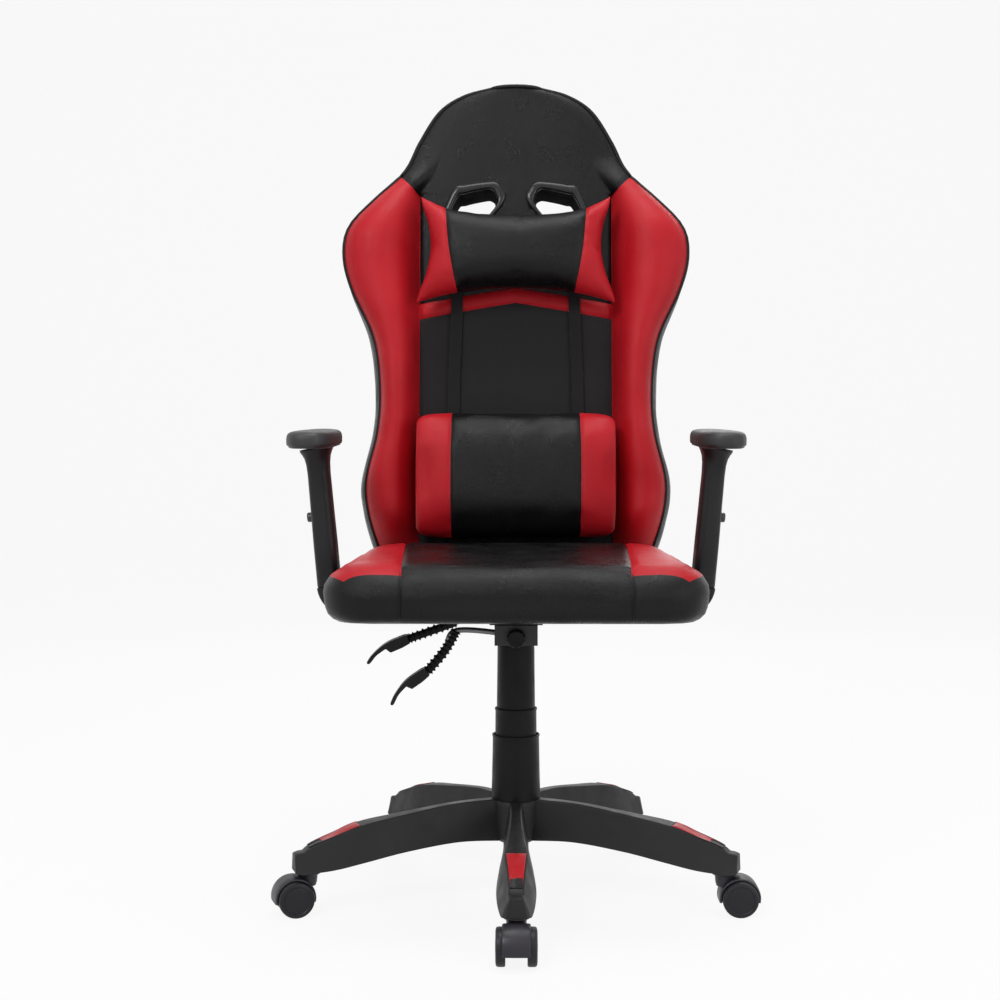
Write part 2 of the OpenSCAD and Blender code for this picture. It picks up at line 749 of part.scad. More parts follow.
// Bent foot: flat under the board, then an arc up to the leaning bar
module bracket_shape() {
    reach = post_t / 2 * cos(arm_lean);
    fall = post_t / 2 * sin(arm_lean);
    in_x = arm_x - reach;
    foot_z = board_z - foot_t;
    drop = foot_z - bend_drop;
    centre_x = arm_x + post_t / 2 - bend_r * cos(arm_lean);
    centre_z = arm_bend_z + bend_r * sin(arm_lean);
    color("#252527") difference() {
        union() {
            rotate([90, 0, 0]) linear_extrude(height = post_w - 4, center = true) polygon(concat(
                [[ARM_BOLTS[0] - 20, board_z], [ARM_BOLTS[0] - 20, foot_z], [centre_x - 25, foot_z]],
                [for (a = [-90:10:-10]) [centre_x + bend_r * cos(a), centre_z + (centre_z - drop) * sin(a)]],
                [[arm_x + reach, arm_bend_z - fall], [in_x, arm_bend_z + fall],
                [in_x - 1, arm_bend_z - 9], [in_x - 5, arm_bend_z - 18], [in_x - 14, board_z]]));
            on_post() translate([-arm_bar_t / 2, -arm_bar_w / 2, -2])
                cube([arm_bar_t, arm_bar_w, arm_bar_l + 2]);
        }
        arm_bolt_spots() translate([0, 0, board_z - 20]) cylinder(r = bolt_r, h = 40);
    }
}

// Hollow post with a flat head under the pad
module post_shape() {
    w = post_w / 2;
    t = post_t / 2;
    top_z = board_z + arm_top - pad_t;
    color("#252527") difference() {
        union() {
            on_post() translate([0, 0, slide_gap]) linear_extrude(height = post_l - 4) polygon([
                [-t + 5, -w], [t - 5, -w], [t, -w + 6], [t, w - 6],
                [t - 5, w], [-t + 5, w], [-t, w - 6], [-t, -w + 6]]);
            translate([arm_x + (top_z - arm_bend_z) * tan(arm_lean), 0, top_z - ARM_HEAD[2] / 2])
                cube(ARM_HEAD, center = true);
        }
        on_post() translate([-arm_bar_t / 2 - slide_gap, -arm_bar_w / 2 - slide_gap, -1])
            cube([arm_bar_t + 2 * slide_gap, arm_bar_w + 2 * slide_gap, arm_cavity_l]);
        on_post() translate([0, 0, button_along]) rotate([0, 90, 0])
            cylinder(r = button_r + run_gap, h = 60);
    }
}

module pad_shape() {
    pad_x = arm_x + (arm_top - arm_bend) * tan(arm_lean);
    corner = [pad_w / 2 - pad_corner, pad_l / 2 - pad_corner];
    color("#222224") translate([pad_x, 0, board_z + arm_top - pad_t]) hull()
        for (x = [-1, 1], y = [-1, 1]) translate([x * corner[0], y * corner[1], 0]) {
            cylinder(r = pad_corner - pad_edge, h = pad_t, $fn = 32);
            translate([0, 0, pad_edge]) cylinder(r = pad_corner, h = pad_t - 2 * pad_edge - 2, $fn = 32);
        }
}

module button_shape() {
    start = arm_bar_t / 2 + slide_gap + button_travel + 0.5;
    color("#3a3a3c") on_post() translate([start, 0, button_along]) rotate([0, 90, 0])
        cylinder(r = button_r, h = post_t / 2 + button_proud - start);
}

module arm_bracket_right() { bracket_shape(); }
module arm_bracket_left() { mirror([1, 0, 0]) bracket_shape(); }
module arm_post_right() { post_shape(); }
module arm_post_left() { mirror([1, 0, 0]) post_shape(); }
module arm_pad_right() { pad_shape(); }
module arm_pad_left() { mirror([1, 0, 0]) pad_shape(); }
module arm_button_right() { button_shape(); }
module arm_button_left() { mirror([1, 0, 0]) button_shape(); }

// ---------- back ----------

// Point of the back's plane in Y and Z
function back_yz(v, u) = [
    BACK_Y + v * cos(back_tilt) + u * sin(back_tilt), BACK_Z - v * sin(back_tilt) + u * cos(back_tilt)];

// Bent bar: level from the hinge, an arc, then up along the back
module back_bar() {
    mid = back_t + back_bar_t / 2;
    corner_u = (pivot_z - BACK_Z + mid * sin(back_tilt)) / cos(back_tilt);
    corner = back_yz(mid, corner_u);
    turn = 90 - back_tilt;
    start_y = corner[0] - bar_bend_r * tan(turn / 2);
    centre = [start_y, pivot_z + bar_bend_r];
    arc = function (r) [for (a = [0:turn / 8:turn + 0.01]) centre + r * [sin(a), -cos(a)]];
    color("#1c1c1e") difference() {
        rotate([90, 0, 90]) linear_extrude(height = back_bar_w, center = true) polygon(concat(
            [[pivot_y + 4, pivot_z + back_bar_t / 2], [pivot_y + 4, pivot_z - back_bar_t / 2]],
            arc(bar_bend_r + back_bar_t / 2),
            [back_yz(back_t + back_bar_t, upright_top), back_yz(back_t, upright_top)],
            [for (i = [8:-1:0]) arc(bar_bend_r - back_bar_t / 2)[i]]));
        translate([0, pivot_y, pivot_z]) rotate([0, 90, 0])
            cylinder(r = barrel_r - 1, h = 200, center = true);
        on_back() back_bolt_holes();
    }
    color("#1c1c1e") translate([0, pivot_y, pivot_z]) rotate([0, 90, 0])
        translate([0, 0, -back_bar_w / 2]) tube(barrel_r, pivot_r + run_gap, back_bar_w);
}

module back_pivot_pin() {
    color("silver") translate([0, pivot_y, pivot_z]) rotate([0, 90, 0])
        cylinder(r = pivot_r, h = housing_w + 8, center = true);
}

module back_bolt_spots() {
    for (x = [-1, 1], u = [BACK_BOLTS[1], BACK_BOLTS[2]]) translate([x * BACK_BOLTS[0], 0, u])
        rotate([90, 0, 0]) children();
}

module back_bolt_holes() {
    back_bolt_spots() cylinder(r = bolt_r, h = 400, center = true);
}

module back_bolt_shanks() {
    back_bolt_spots() translate([0, 0, -back_t - back_bar_t]) cylinder(r = bolt_r, h = back_bolt_l);
}

module back_bolts() {
    color("#8a8a8c") on_back() {
        back_bolt_shanks();
        back_bolt_spots() translate([0, 0, -back_t - back_bar_t - bolt_head_h])
            cylinder(r = bolt_head_r, h = bolt_head_h, $fn = 6);
    }
}

// Welded ring, crossbars and the plate that the bar bolts to, in the back's own frame
module frame_shape() {
    v1 = frame_v + frame_t;
    difference() {
        back_slab(back_outline(frame_inset), frame_v, v1);
        back_slab(back_outline(frame_inset + frame_w), frame_v - 1, v1 + 1);
    }
    for (u = CROSSBARS) difference() {
        translate([-back_half_w, frame_v + 1, u]) cube([2 * back_half_w, frame_t - 2, crossbar_w]);
        back_slab(concat(back_outline(frame_inset + frame_w - 2),
            [[-600, -200], [-600, 1000], [600, 1000], [600, -200]]), frame_v - 1, v1 + 1);
    }
    difference() {
        translate([-MOUNT_PLATE[0], frame_v + 2, MOUNT_PLATE[1]])
            cube([2 * MOUNT_PLATE[0], back_t - frame_v - 2, MOUNT_PLATE[2] - MOUNT_PLATE[1]]);
        translate([MOUNT_PLATE[3] - MOUNT_PLATE[0], frame_v, MOUNT_PLATE[1] - 1])
            cube([2 * (MOUNT_PLATE[0] - MOUNT_PLATE[3]), back_t - frame_v - MOUNT_PLATE[3],
                MOUNT_PLATE[2] - MOUNT_PLATE[1] + 2]);
    }
}

module back_frame() {
    color("#4a4a4c") on_back() difference() {
        frame_shape();
        back_bolt_spots() cylinder(r = bolt_r, h = 2 * (back_t + 5), center = true);
    }
}

// Side wing: the outline outside the centre panel, between two heights
module wing() {
    half = [for (p = back_half(10)) if (p[0] > panel_half_w + 4 && p[1] > 24 && p[1] < back_h * 0.8) p];
    n = len(half);
    back_slab(concat([[panel_half_w, 26]], half, [[panel_half_w, half[n - 1][1]]]), -wing_t, 6);
}

module back_cushion() {
    color("#232325") on_back() difference() {
        union() {
            back_slab(back_outline(12), 0, 12);
            back_slab(back_outline(0), 11, back_t - 10);
            back_slab(back_outline(10), back_t - 11, back_t);
            both_sides() wing();
        }
        both_sides() back_slab(grow(SLOT, slot_liner), -100, 200);
        frame_shape();
        back_bolt_shanks();
    }
}

// Front and rear bezels with the liner between them, for both slots
module slot_trims() {
    color("#1a1a1b") on_back() both_sides() difference() {
        union() {
            back_slab(grow(SLOT, slot_flange), -trim_t, 0);
            back_slab(grow(SLOT, slot_liner), -1, back_t + 1);
            back_slab(grow(SLOT, slot_flange), back_t, back_t + trim_t);
        }
        back_slab(SLOT, -100, 200);
    }
}

module head_pillow() {
    low = head_pillow_half_w;
    right = [[0, 411], [60, 402], [low - 8, 388], [low, 396], [low - 20, 440], [low - 29, 474],
        [low - 18, 515], [low - 8, 552], [low - 16, 558], [60, 540]];
    color("#8c1a20") on_back()
        back_slab(concat(right, [[0, 532]], mirrored([for (i = [1:len(right) - 1]) right[i]])),
            -pillow_v - pillow_t, -pillow_v);
}

module lumbar_pillow() {
    r = 30;
    color("#8c1a20") on_back() hull() for (v = [r, pillow_t - r], u = [lumbar_u + r, lumbar_u + lumbar_h - r])
        translate([0, -pillow_v - v, u]) rotate([0, 90, 0])
            cylinder(r = r, h = 2 * lumbar_half_w, center = true, $fn = 32);
}

// Elastic loops that pass through the slots and round the back
module pillow_straps() {
    v0 = -trim_t - strap_gap - strap_t;
    v1 = back_t + trim_t + strap_gap;
    low = back_outline(0)[0][1] - strap_gap - strap_t;
    h = strap_slot_u - low;
    color("#151516") on_back() both_sides() translate([strap_x - strap_w / 2, 0, low]) difference() {
        translate([0, v0, 0]) cube([strap_w, v1 + strap_t - v0, h + strap_t]);
        translate([-1, v0 + strap_t, strap_t]) cube([strap_w + 2, v1 - v0 - strap_t, h - strap_t]);
    }
}

// ---------- nodes ----------

base_star();
base_inserts();
gas_tube();
guide_bush();
thrust_bearing();
piston_rod();
gas_cylinder();
cover_lower();
cover_middle();
cover_upper();
mech_housing();
seat_plate();
seat_bolts();
tension_knob();
tension_spring();
height_lever_rod();
height_lever_sleeve();
height_lever_paddle();
recline_lever_rod();
recline_lever_sleeve();
recline_lever_paddle();
seat_board();
seat_cushion();
arm_bracket_left();
arm_bracket_right();
arm_post_left();
arm_post_right();
arm_pad_left();
arm_pad_right();
arm_button_left();
arm_button_right();
back_bar();
back_pivot_pin();
back_bolts();
back_frame();
back_cushion();
slot_trims();
head_pillow();
lumbar_pillow();
pillow_straps();
caster_hood(0);  // caster_hood_1
caster_pins(0);  // caster_pins_1
wheel_a(0);  // wheel_a_1
wheel_b(0);  // wheel_b_1
caster_hood(1);  // caster_hood_2
caster_pins(1);  // caster_pins_2
wheel_a(1);  // wheel_a_2
wheel_b(1);  // wheel_b_2
caster_hood(2);  // caster_hood_3
caster_pins(2);  // caster_pins_3
wheel_a(2);  // wheel_a_3
wheel_b(2);  // wheel_b_3
caster_hood(3);  // caster_hood_4
caster_pins(3);  // caster_pins_4
wheel_a(3);  // wheel_a_4
wheel_b(3);  // wheel_b_4
caster_hood(4);  // caster_hood_5
caster_pins(4);  // caster_pins_5
wheel_a(4);  // wheel_a_5
wheel_b(4);  // wheel_b_5
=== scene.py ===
import math

import bmesh
import bpy
import numpy as np
from mathutils import Matrix, Vector, kdtree, noise


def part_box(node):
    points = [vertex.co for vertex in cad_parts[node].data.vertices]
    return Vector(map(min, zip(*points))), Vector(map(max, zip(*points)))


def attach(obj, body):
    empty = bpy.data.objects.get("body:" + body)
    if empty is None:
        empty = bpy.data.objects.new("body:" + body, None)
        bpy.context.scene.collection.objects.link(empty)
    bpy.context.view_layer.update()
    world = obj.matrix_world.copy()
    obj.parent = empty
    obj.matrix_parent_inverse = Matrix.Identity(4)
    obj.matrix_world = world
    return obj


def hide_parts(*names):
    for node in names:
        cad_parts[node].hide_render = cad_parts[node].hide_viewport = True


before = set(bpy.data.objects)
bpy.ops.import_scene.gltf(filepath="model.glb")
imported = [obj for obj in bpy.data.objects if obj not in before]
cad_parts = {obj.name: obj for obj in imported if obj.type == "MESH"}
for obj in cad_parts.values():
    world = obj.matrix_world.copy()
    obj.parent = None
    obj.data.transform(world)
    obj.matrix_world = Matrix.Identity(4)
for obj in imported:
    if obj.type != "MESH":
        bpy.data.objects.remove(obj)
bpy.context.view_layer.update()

MM = 0.001

# Every length below is in millimetres, in the frame of the CAD model: the chair faces -Y and Z is up.

# Backrest: origin of its plane, tilt, size and the right half of its outline as shares of the half-width and the height
BACK_Y, BACK_Z = 195.0, 1000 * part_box("seat_board")[0].z + 48
BACK_TILT = math.radians(8)
BACK_HALF_W, BACK_H = 268.0, 741.0
BACK_CURVE = [
    (0.75, -0.02), (0.83, 0.03), (0.895, 0.145), (0.83, 0.26), (0.815, 0.35), (0.85, 0.46),
    (0.955, 0.56), (1, 0.635), (0.97, 0.695), (0.83, 0.755), (0.655, 0.82), (0.565, 0.885),
    (0.45, 0.95), (0.31, 0.984), (0.15, 1),
]
PANEL_HALF = 150.0               # half of the centre panel's width
CHEVRON = (374.0, 398.0)         # lower and upper edge of the coloured chevron, at the panel's sides
CHEVRON_RISE = 25.0              # how much higher its apex is
HEAD_SEAM = 571.0                # where the wings meet the head section, at the panel's side
HEAD_SLANT = 29.0                # how much higher that seam is at the outline
SLOT = [(33, 549), (32, 571), (39, 578), (49, 578), (80, 571), (93, 563), (119, 500), (111, 488), (84, 486)]
BOXING = 7                       # rows of points across the side boxing, front to rear
EDGE_INSET = 1.5                 # how far inside the outline the front cover's edge lies on the high part
REAR_EDGE = 63.0                 # where the boxing meets the rear cover

# Base
HUB_BOTTOM, HUB_TOP, HUB_R = 85.0, 143.0, 34.0
CASTER_H = 60.0
# Share of the length, shares of the underside's and the top's rise, half-widths below and above
LEG_STATIONS = [
    (0, 1, 1, 18, 9), (0.21, 1.1, 0.96, 18, 8), (0.465, 0.84, 0.77, 23, 11),
    (0.675, 0.44, 0.58, 26.5, 15.5), (0.815, 0.14, 0.31, 25, 13), (0.943, 0, 0, 21, 10.5), (1, 0, -0.5, 17, 15),
]
LEG_ROOT, LEG_TIP = 29.0, 325.0
LEG_ARCH, LEG_END_H = 25, 31     # rise of the underside from tip to hub, and height of the leg's outer end
STEM_RADIUS = 305.0
CASTER_HEADINGS = [-90, 0, 54, 126, 199]

# Arms: the leaning posts
ARM_X, ARM_BEND_Z, ARM_LEAN = 267.2, 449.0, math.radians(5)


# ---------- materials ----------

def new_material(name, colour, roughness, metallic=0.0, specular=0.5, sheen=0.0, coat=0.0):
    mat = bpy.data.materials.new(name)
    mat.use_nodes = True
    shader = mat.node_tree.nodes["Principled BSDF"]
    shader.inputs["Base Color"].default_value = (*colour, 1)
    shader.inputs["Roughness"].default_value = roughness
    shader.inputs["Metallic"].default_value = metallic
    shader.inputs["Specular IOR Level"].default_value = specular
    shader.inputs["Sheen Weight"].default_value = sheen
    shader.inputs["Coat Weight"].default_value = coat
    shader.inputs["Coat Roughness"].default_value = 0.3
    return mat, mat.node_tree, shader


def add(tree, kind, **values):
    node = tree.nodes.new(kind)
    for key, value in values.items():
        if key in node.inputs:
            node.inputs[key].default_value = value
        else:
            setattr(node, key, value)
    return node


def noise_of(tree, scale, detail=3.0, rough=0.5):
    coords = add(tree, "ShaderNodeTexCoord")
    tex = add(tree, "ShaderNodeTexNoise", Scale=scale, Detail=detail, Roughness=rough)
    tree.links.new(coords.outputs["Object"], tex.inputs["Vector"])
    return tex.outputs["Fac"]


def remap(tree, value, low, high, start=0.35, stop=0.65):
    node = add(tree, "ShaderNodeMapRange")
    tree.links.new(value, node.inputs["Value"])
    for key, number in (("From Min", start), ("From Max", stop), ("To Min", low), ("To Max", high)):
        node.inputs[key].default_value = number
    return node.outputs["Result"]


def two_tone(tree, shader, colour, other, fac):
    mix = add(tree, "ShaderNodeMix", data_type="RGBA")
    mix.inputs["A"].default_value = (*colour, 1)
    mix.inputs["B"].default_value = (*other, 1)
    tree.links.new(fac, mix.inputs["Factor"])
    tree.links.new(mix.outputs["Result"], shader.inputs["Base Color"])


def bump_chain(tree, shader, layers):
    """layers are (height, distance in metres, strength); each bump feeds the next."""
    normal = None
    for height, distance, strength in layers:
        bump = add(tree, "ShaderNodeBump", Distance=distance, Strength=strength)
        tree.links.new(height, bump.inputs["Height"])
        if normal:
            tree.links.new(normal, bump.inputs["Normal"])
        normal = bump.outputs["Normal"]
    tree.links.new(normal, shader.inputs["Normal"])


def grain_of(tree, scale):
    coords = add(tree, "ShaderNodeTexCoord")
    cells = add(tree, "ShaderNodeTexVoronoi", feature="DISTANCE_TO_EDGE", Scale=scale)
    tree.links.new(coords.outputs["Object"], cells.inputs["Vector"])
    return remap(tree, cells.outputs["Distance"], 0, 1, 0, 0.25)


def leatherette(name, colour, lighter, roughness, specular):
    """Coated fabric with a fine pebble grain, soft creases and slightly uneven shine."""
    mat, tree, shader = new_material(name, colour, roughness, specular=specular)
    two_tone(tree, shader, colour, lighter, remap(tree, noise_of(tree, 14, 4), 0, 0.8))
    tree.links.new(remap(tree, noise_of(tree, 25, 3), roughness - 0.06, roughness + 0.08), shader.inputs["Roughness"])
    bump_chain(tree, shader, [
        (grain_of(tree, 620), 0.00022, 0.55),
        (noise_of(tree, 240, 2), 0.0004, 0.18),
        (noise_of(tree, 30, 2), 0.0025, 0.10),
    ])
    return mat


def woven(name, colour, lighter, pitch, sheen=0.15, roughness=0.85):
    """Warp and weft threads as two crossed waves, with some threads lighter."""
    mat, tree, shader = new_material(name, colour, roughness, specular=0.3, sheen=sheen)
    coords = add(tree, "ShaderNodeTexCoord")
    heights = []
    for direction in ("X", "Z"):
        wave = add(tree, "ShaderNodeTexWave", bands_direction=direction, Scale=1 / (pitch * MM) / 3.14, Distortion=0.4)
        wave.inputs["Detail Scale"].default_value = 2
        tree.links.new(coords.outputs["Object"], wave.inputs["Vector"])
        heights.append(wave.outputs["Fac"])
    weave = add(tree, "ShaderNodeMath", operation="MULTIPLY")
    tree.links.new(heights[0], weave.inputs[0])
    tree.links.new(heights[1], weave.inputs[1])
    two_tone(tree, shader, colour, lighter, weave.outputs["Value"])
    bump_chain(tree, shader, [(weave.outputs["Value"], 0.0005, 0.8), (noise_of(tree, 60, 3), 0.001, 0.3)])
    return mat


def moulded(name, colour, roughness, texture=900, depth=0.00012, coat=0.0, specular=0.5):
    """Injection-moulded plastic: eroded texture, faint flow marks and uneven shine."""
    mat, tree, shader = new_material(name, colour, roughness, specular=specular, coat=coat)
    lighter = [1.35 * c + 0.002 for c in colour]
    two_tone(tree, shader, colour, lighter, remap(tree, noise_of(tree, 9, 3), 0, 0.7))
    tree.links.new(remap(tree, noise_of(tree, 40, 4), roughness - 0.06, roughness + 0.08), shader.inputs["Roughness"])
    bump_chain(tree, shader, [(noise_of(tree, texture, 2), depth, 0.6), (noise_of(tree, 18, 2), 0.0012, 0.12)])
    return mat


def painted(name, colour, roughness, metallic=0.0):
    """Powder coat: fine orange peel over steel."""
    mat, tree, shader = new_material(name, colour, roughness, metallic=metallic)
    two_tone(tree, shader, colour, [1.5 * c + 0.003 for c in colour], remap(tree, noise_of(tree, 22, 5), 0, 0.6))
    bump_chain(tree, shader, [(noise_of(tree, 420, 2), 0.00025, 0.5)])
    return mat


def bare_metal(name, colour, roughness):
    """Turned or drawn steel with fine lines and a few dull spots."""
    mat, tree, shader = new_material(name, colour, roughness, metallic=1.0)
    tree.links.new(remap(tree, noise_of(tree, 30, 5), roughness - 0.05, roughness + 0.18), shader.inputs["Roughness"])
    bump_chain(tree, shader, [(noise_of(tree, 1500, 2), 0.00005, 0.5)])
    return mat


def plywood(name):
    mat, tree, shader = new_material(name, (0.42, 0.27, 0.14), 0.65)
    coords = add(tree, "ShaderNodeTexCoord")
    wave = add(tree, "ShaderNodeTexWave", bands_direction="Y", Scale=18.0, Distortion=9.0, Detail=3.0)
    tree.links.new(coords.outputs["Object"], wave.inputs["Vector"])
    two_tone(tree, shader, (0.42, 0.27, 0.14), (0.25, 0.14, 0.06), wave.outputs["Fac"])
    bump_chain(tree, shader, [(wave.outputs["Fac"], 0.0003, 0.4)])
    return mat


BLACK_LEATHER = leatherette("black_leatherette", (0.0040, 0.0040, 0.0045), (0.0068, 0.0068, 0.0076), 0.31, 0.18)
RED_LEATHER = leatherette("red_leatherette", (0.46, 0.008, 0.015), (0.53, 0.014, 0.023), 0.36, 0.19)
PANEL_FABRIC = woven("panel_fabric", (0.008, 0.008, 0.009), (0.026, 0.027, 0.030), 1.6)
STRAP_ELASTIC = woven("strap_elastic", (0.005, 0.005, 0.006), (0.016, 0.016, 0.018), 1.1)
BASE_PLASTIC = moulded("base_plastic", (0.013, 0.013, 0.014), 0.48, specular=0.26)
INSERT_RED = moulded("insert_red", (0.47, 0.012, 0.018), 0.38, texture=1200, depth=0.00005)
CASTER_PLASTIC = moulded("caster_plastic", (0.018, 0.016, 0.021), 0.40, specular=0.34)
WHEEL_PLASTIC = moulded("wheel_plastic", (0.012, 0.011, 0.014), 0.44, texture=600, specular=0.26)
COVER_PLASTIC = moulded("cover_plastic", (0.006, 0.006, 0.0068), 0.42, depth=0.00006, specular=0.14)
ARM_PLASTIC = moulded("arm_plastic", (0.010, 0.010, 0.0115), 0.46, specular=0.28)
PAD_PLASTIC = moulded("pad_plastic", (0.017, 0.017, 0.018), 0.55, texture=500, depth=0.0002)
BUTTON_PLASTIC = moulded("button_plastic", (0.03, 0.03, 0.032), 0.35)
TRIM_PLASTIC = moulded("trim_plastic", (0.008, 0.008, 0.009), 0.26, depth=0.00004, specular=0.35)
LINER_FELT = moulded("liner_matte", (0.006, 0.006, 0.0065), 0.9, texture=400, specular=0.04)
LEVER_PLASTIC = moulded("lever_plastic", (0.007, 0.007, 0.008), 0.42, specular=0.2)
SLEEVE_RUBBER = moulded("sleeve_rubber", (0.006, 0.006, 0.007), 0.6, texture=300, specular=0.18)
BUSH_PLASTIC = moulded("bush_plastic", (0.7, 0.69, 0.65), 0.5)
MECH_PAINT = painted("mech_paint", (0.010, 0.010, 0.011), 0.5)
TUBE_PAINT = painted("tube_paint", (0.012, 0.012, 0.013), 0.4)
FRAME_PAINT = painted("frame_paint", (0.05, 0.05, 0.055), 0.55)
CHROME = bare_metal("chrome", (0.72, 0.72, 0.74), 0.14)
PIN_STEEL = bare_metal("pin_steel", (0.55, 0.55, 0.56), 0.3)
BOLT_STEEL = bare_metal("bolt_steel", (0.16, 0.16, 0.17), 0.38)
BOARD_WOOD = plywood("board_wood")


# ---------- mesh tools ----------

def build(name, points, faces, body, materials, node=(), slot=None, face_mats=None, parent=None):
    """A smooth-shaded mesh from points in millimetres, on its body, standing for its CAD nodes."""
    mesh = bpy.data.meshes.new(name)
    mesh.from_pydata([[MM * c for c in p] for p in points], [], faces)
    for mat in materials:
        mesh.materials.append(mat)
    if face_mats is not None:
        mesh.polygons.foreach_set("material_index", face_mats)
    bm = bmesh.new()
    bm.from_mesh(mesh)
    bmesh.ops.remove_doubles(bm, verts=bm.verts, dist=1e-6)
    bmesh.ops.dissolve_degenerate(bm, edges=bm.edges, dist=1e-7)
    bmesh.ops.recalc_face_normals(bm, faces=bm.faces)
    bm.to_mesh(mesh)
    bm.free()
    mesh.polygons.foreach_set("use_smooth", [True] * len(mesh.polygons))
    obj = bpy.data.objects.new(name, mesh)
    bpy.context.scene.collection.objects.link(obj)
    if parent is None:
        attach(obj, body)
    else:
        obj.parent = parent
    if node:
        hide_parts(*([node] if isinstance(node, str) else node))
    return obj


def ring_faces(rows, columns, cap=True, closed=False):
    """Quads between neighbouring rings of points, with both ends closed unless the rings form a loop."""
    count = rows if closed else rows - 1
    faces = [
        (i * columns + j, i * columns + (j + 1) % columns,
         (i + 1) % rows * columns + (j + 1) % columns, (i + 1) % rows * columns + j)
        for i in range(count) for j in range(columns)
    ]
    if cap and not closed:
        faces.append(tuple(range(columns)))
        faces.append(tuple((rows - 1) * columns + j for j in range(columns)))
    return faces


def flat_list(rings):
    return [p for ring in rings for p in ring]


def skin(name, rings, body, material, closed=False, cap=True, **kw):
    faces = ring_faces(len(rings), len(rings[0]), cap=cap, closed=closed)
    return build(name, flat_list(rings), faces, body, [material], **kw)


def bevel(obj, width, segments=2, angle=30):
    mod = obj.modifiers.new("bevel", "BEVEL")
    mod.width = width * MM
    mod.segments = segments
    mod.limit_method = "ANGLE"
    mod.angle_limit = math.radians(angle)
    mod.harden_normals = False
    bpy.context.view_layer.update()
    bake_modifiers(obj)
    sharp = obj.modifiers.new("weights", "WEIGHTED_NORMAL")
    sharp.keep_sharp = True
    return obj


def bake_modifiers(obj):
    """The evaluated mesh becomes the object's own mesh, and the modifiers go."""
    dg = bpy.context.evaluated_depsgraph_get()
    mesh = bpy.data.meshes.new_from_object(obj.evaluated_get(dg), depsgraph=dg)
    obj.modifiers.clear()
    obj.data = mesh
    mesh.polygons.foreach_set("use_smooth", [True] * len(mesh.polygons))


def smoothstep(x, a, b):
    t = min(max((x - a) / (b - a), 0.0), 1.0)
    return t * t * (3 - 2 * t)


def catmull(points, per_span):
    """Points on a smooth curve through the given ones, with so many to a span."""
    pts = [np.array(p, float) for p in points]
    out = []
    for i in range(len(pts) - 1):
        a, b, c, d = pts[max(i - 1, 0)], pts[i], pts[i + 1], pts[min(i + 2, len(pts) - 1)]
        for k in range(per_span):
            t = k / per_span
            out.append(0.5 * (2 * b + (c - a) * t + (2 * a - 5 * b + 4 * c - d) * t ** 2
                              + (3 * b - a - 3 * c + d) * t ** 3))
    return out + [pts[-1]]


def curve(points, per_span=12):
    """A smooth curve through (x, value) points, as a function of x."""
    xs, values = zip(*catmull(points, per_span))
    return lambda x: float(np.interp(x, xs, values))


def rumple(p, size, seed=0.0):
    """Smooth noise from -1 to 1 that changes over about that many millimetres."""
    return noise.noise(Vector((p[0] / size + seed, p[1] / size, p[2] / size - seed)))


def lathe(name, profile, body, material, place=Matrix.Identity(4), segments=64, **kw):
    """A turned part: (radius, height) points round the local Z axis, then placed by a matrix in millimetres."""
    rings = []
    for r, z in profile:
        ring = [place @ Vector((r * math.cos(a), r * math.sin(a), z))
                for a in np.linspace(0, 2 * math.pi, segments, endpoint=False)]
        rings.append([tuple(p) for p in ring])
    obj = skin(name, rings, body, material, **kw)
    obj.data.set_sharp_from_angle(angle=math.radians(38))
    return obj


def tube_rings(path, radius, sides=12, closed=False, flat=1.0, up=(1, 0, 0)):
    """Rings round a path. radius is a number or a list, and flat squeezes the section along up."""
    pts = [Vector(p) for p in path]
    n = len(pts)
    radii = radius if hasattr(radius, "__len__") else [radius] * n
    rings = []
    for i, p in enumerate(pts):
        ahead = pts[(i + 1) % n] if closed or i + 1 < n else p
        behind = pts[i - 1] if closed or i > 0 else p
        t = (ahead - behind).normalized()
        side = t.cross(Vector(up))
        side = side.normalized() if side.length > 1e-6 else t.orthogonal().normalized()
        other = t.cross(side).normalized()
        rings.append([tuple(p + radii[i] * (math.cos(a) * side + math.sin(a) * flat * other))
                      for a in np.linspace(0, 2 * math.pi, sides, endpoint=False)])
    return rings


def extrude(name, outline, place, half, body, material, rounding=2.0, **kw):
    """An outline made into a slab of that half thickness with rounded edges, then placed by a matrix."""
    rings = [[tuple(place @ Vector((x, y, z))) for x, y in outline] for z in (-half, half)]
    obj = skin(name, rings, body, material, **kw)
    return bevel(obj, rounding, 3, 35)


# ---------- base ----------

LEG_CURVES = [curve([(station[0], station[k]) for station in LEG_STATIONS]) for k in (1, 2, 3, 4)]


def leg_sizes(t):
    """Radius, underside, top and half-widths of a leg at a share of its length."""
    under, top, low_w, top_w = (value(t) for value in LEG_CURVES)
    return (LEG_ROOT + t * (LEG_TIP - LEG_ROOT), CASTER_H + LEG_ARCH * under,
            CASTER_H + LEG_END_H + (HUB_TOP - CASTER_H - LEG_END_H) * top, low_w, top_w)


def rounded_section(r, low_w, top_w, z0, z1, wall=4.0, turn=2.6):
    """Section of a leg open below: outside up and over, then inside back, with rounded upper corners."""
    outer = [(-low_w, z0)]
    for side in (-1, 1):
        corner = (side * top_w, z1)
        steps = [math.pi / 2 * k / 4 for k in range(5)]
        arc = [(corner[0] - side * turn * (1 - math.cos(a)), corner[1] - turn * (1 - math.sin(a))) for a in steps]
        outer += arc if side < 0 else arc[::-1]
    outer.append((low_w, z0))
    inner = [(low_w - wall, z0), (top_w - wall, z1 - wall - 2), (wall - top_w, z1 - wall - 2), (wall - low_w, z0)]
    return [(r, y, z) for y, z in outer + inner]


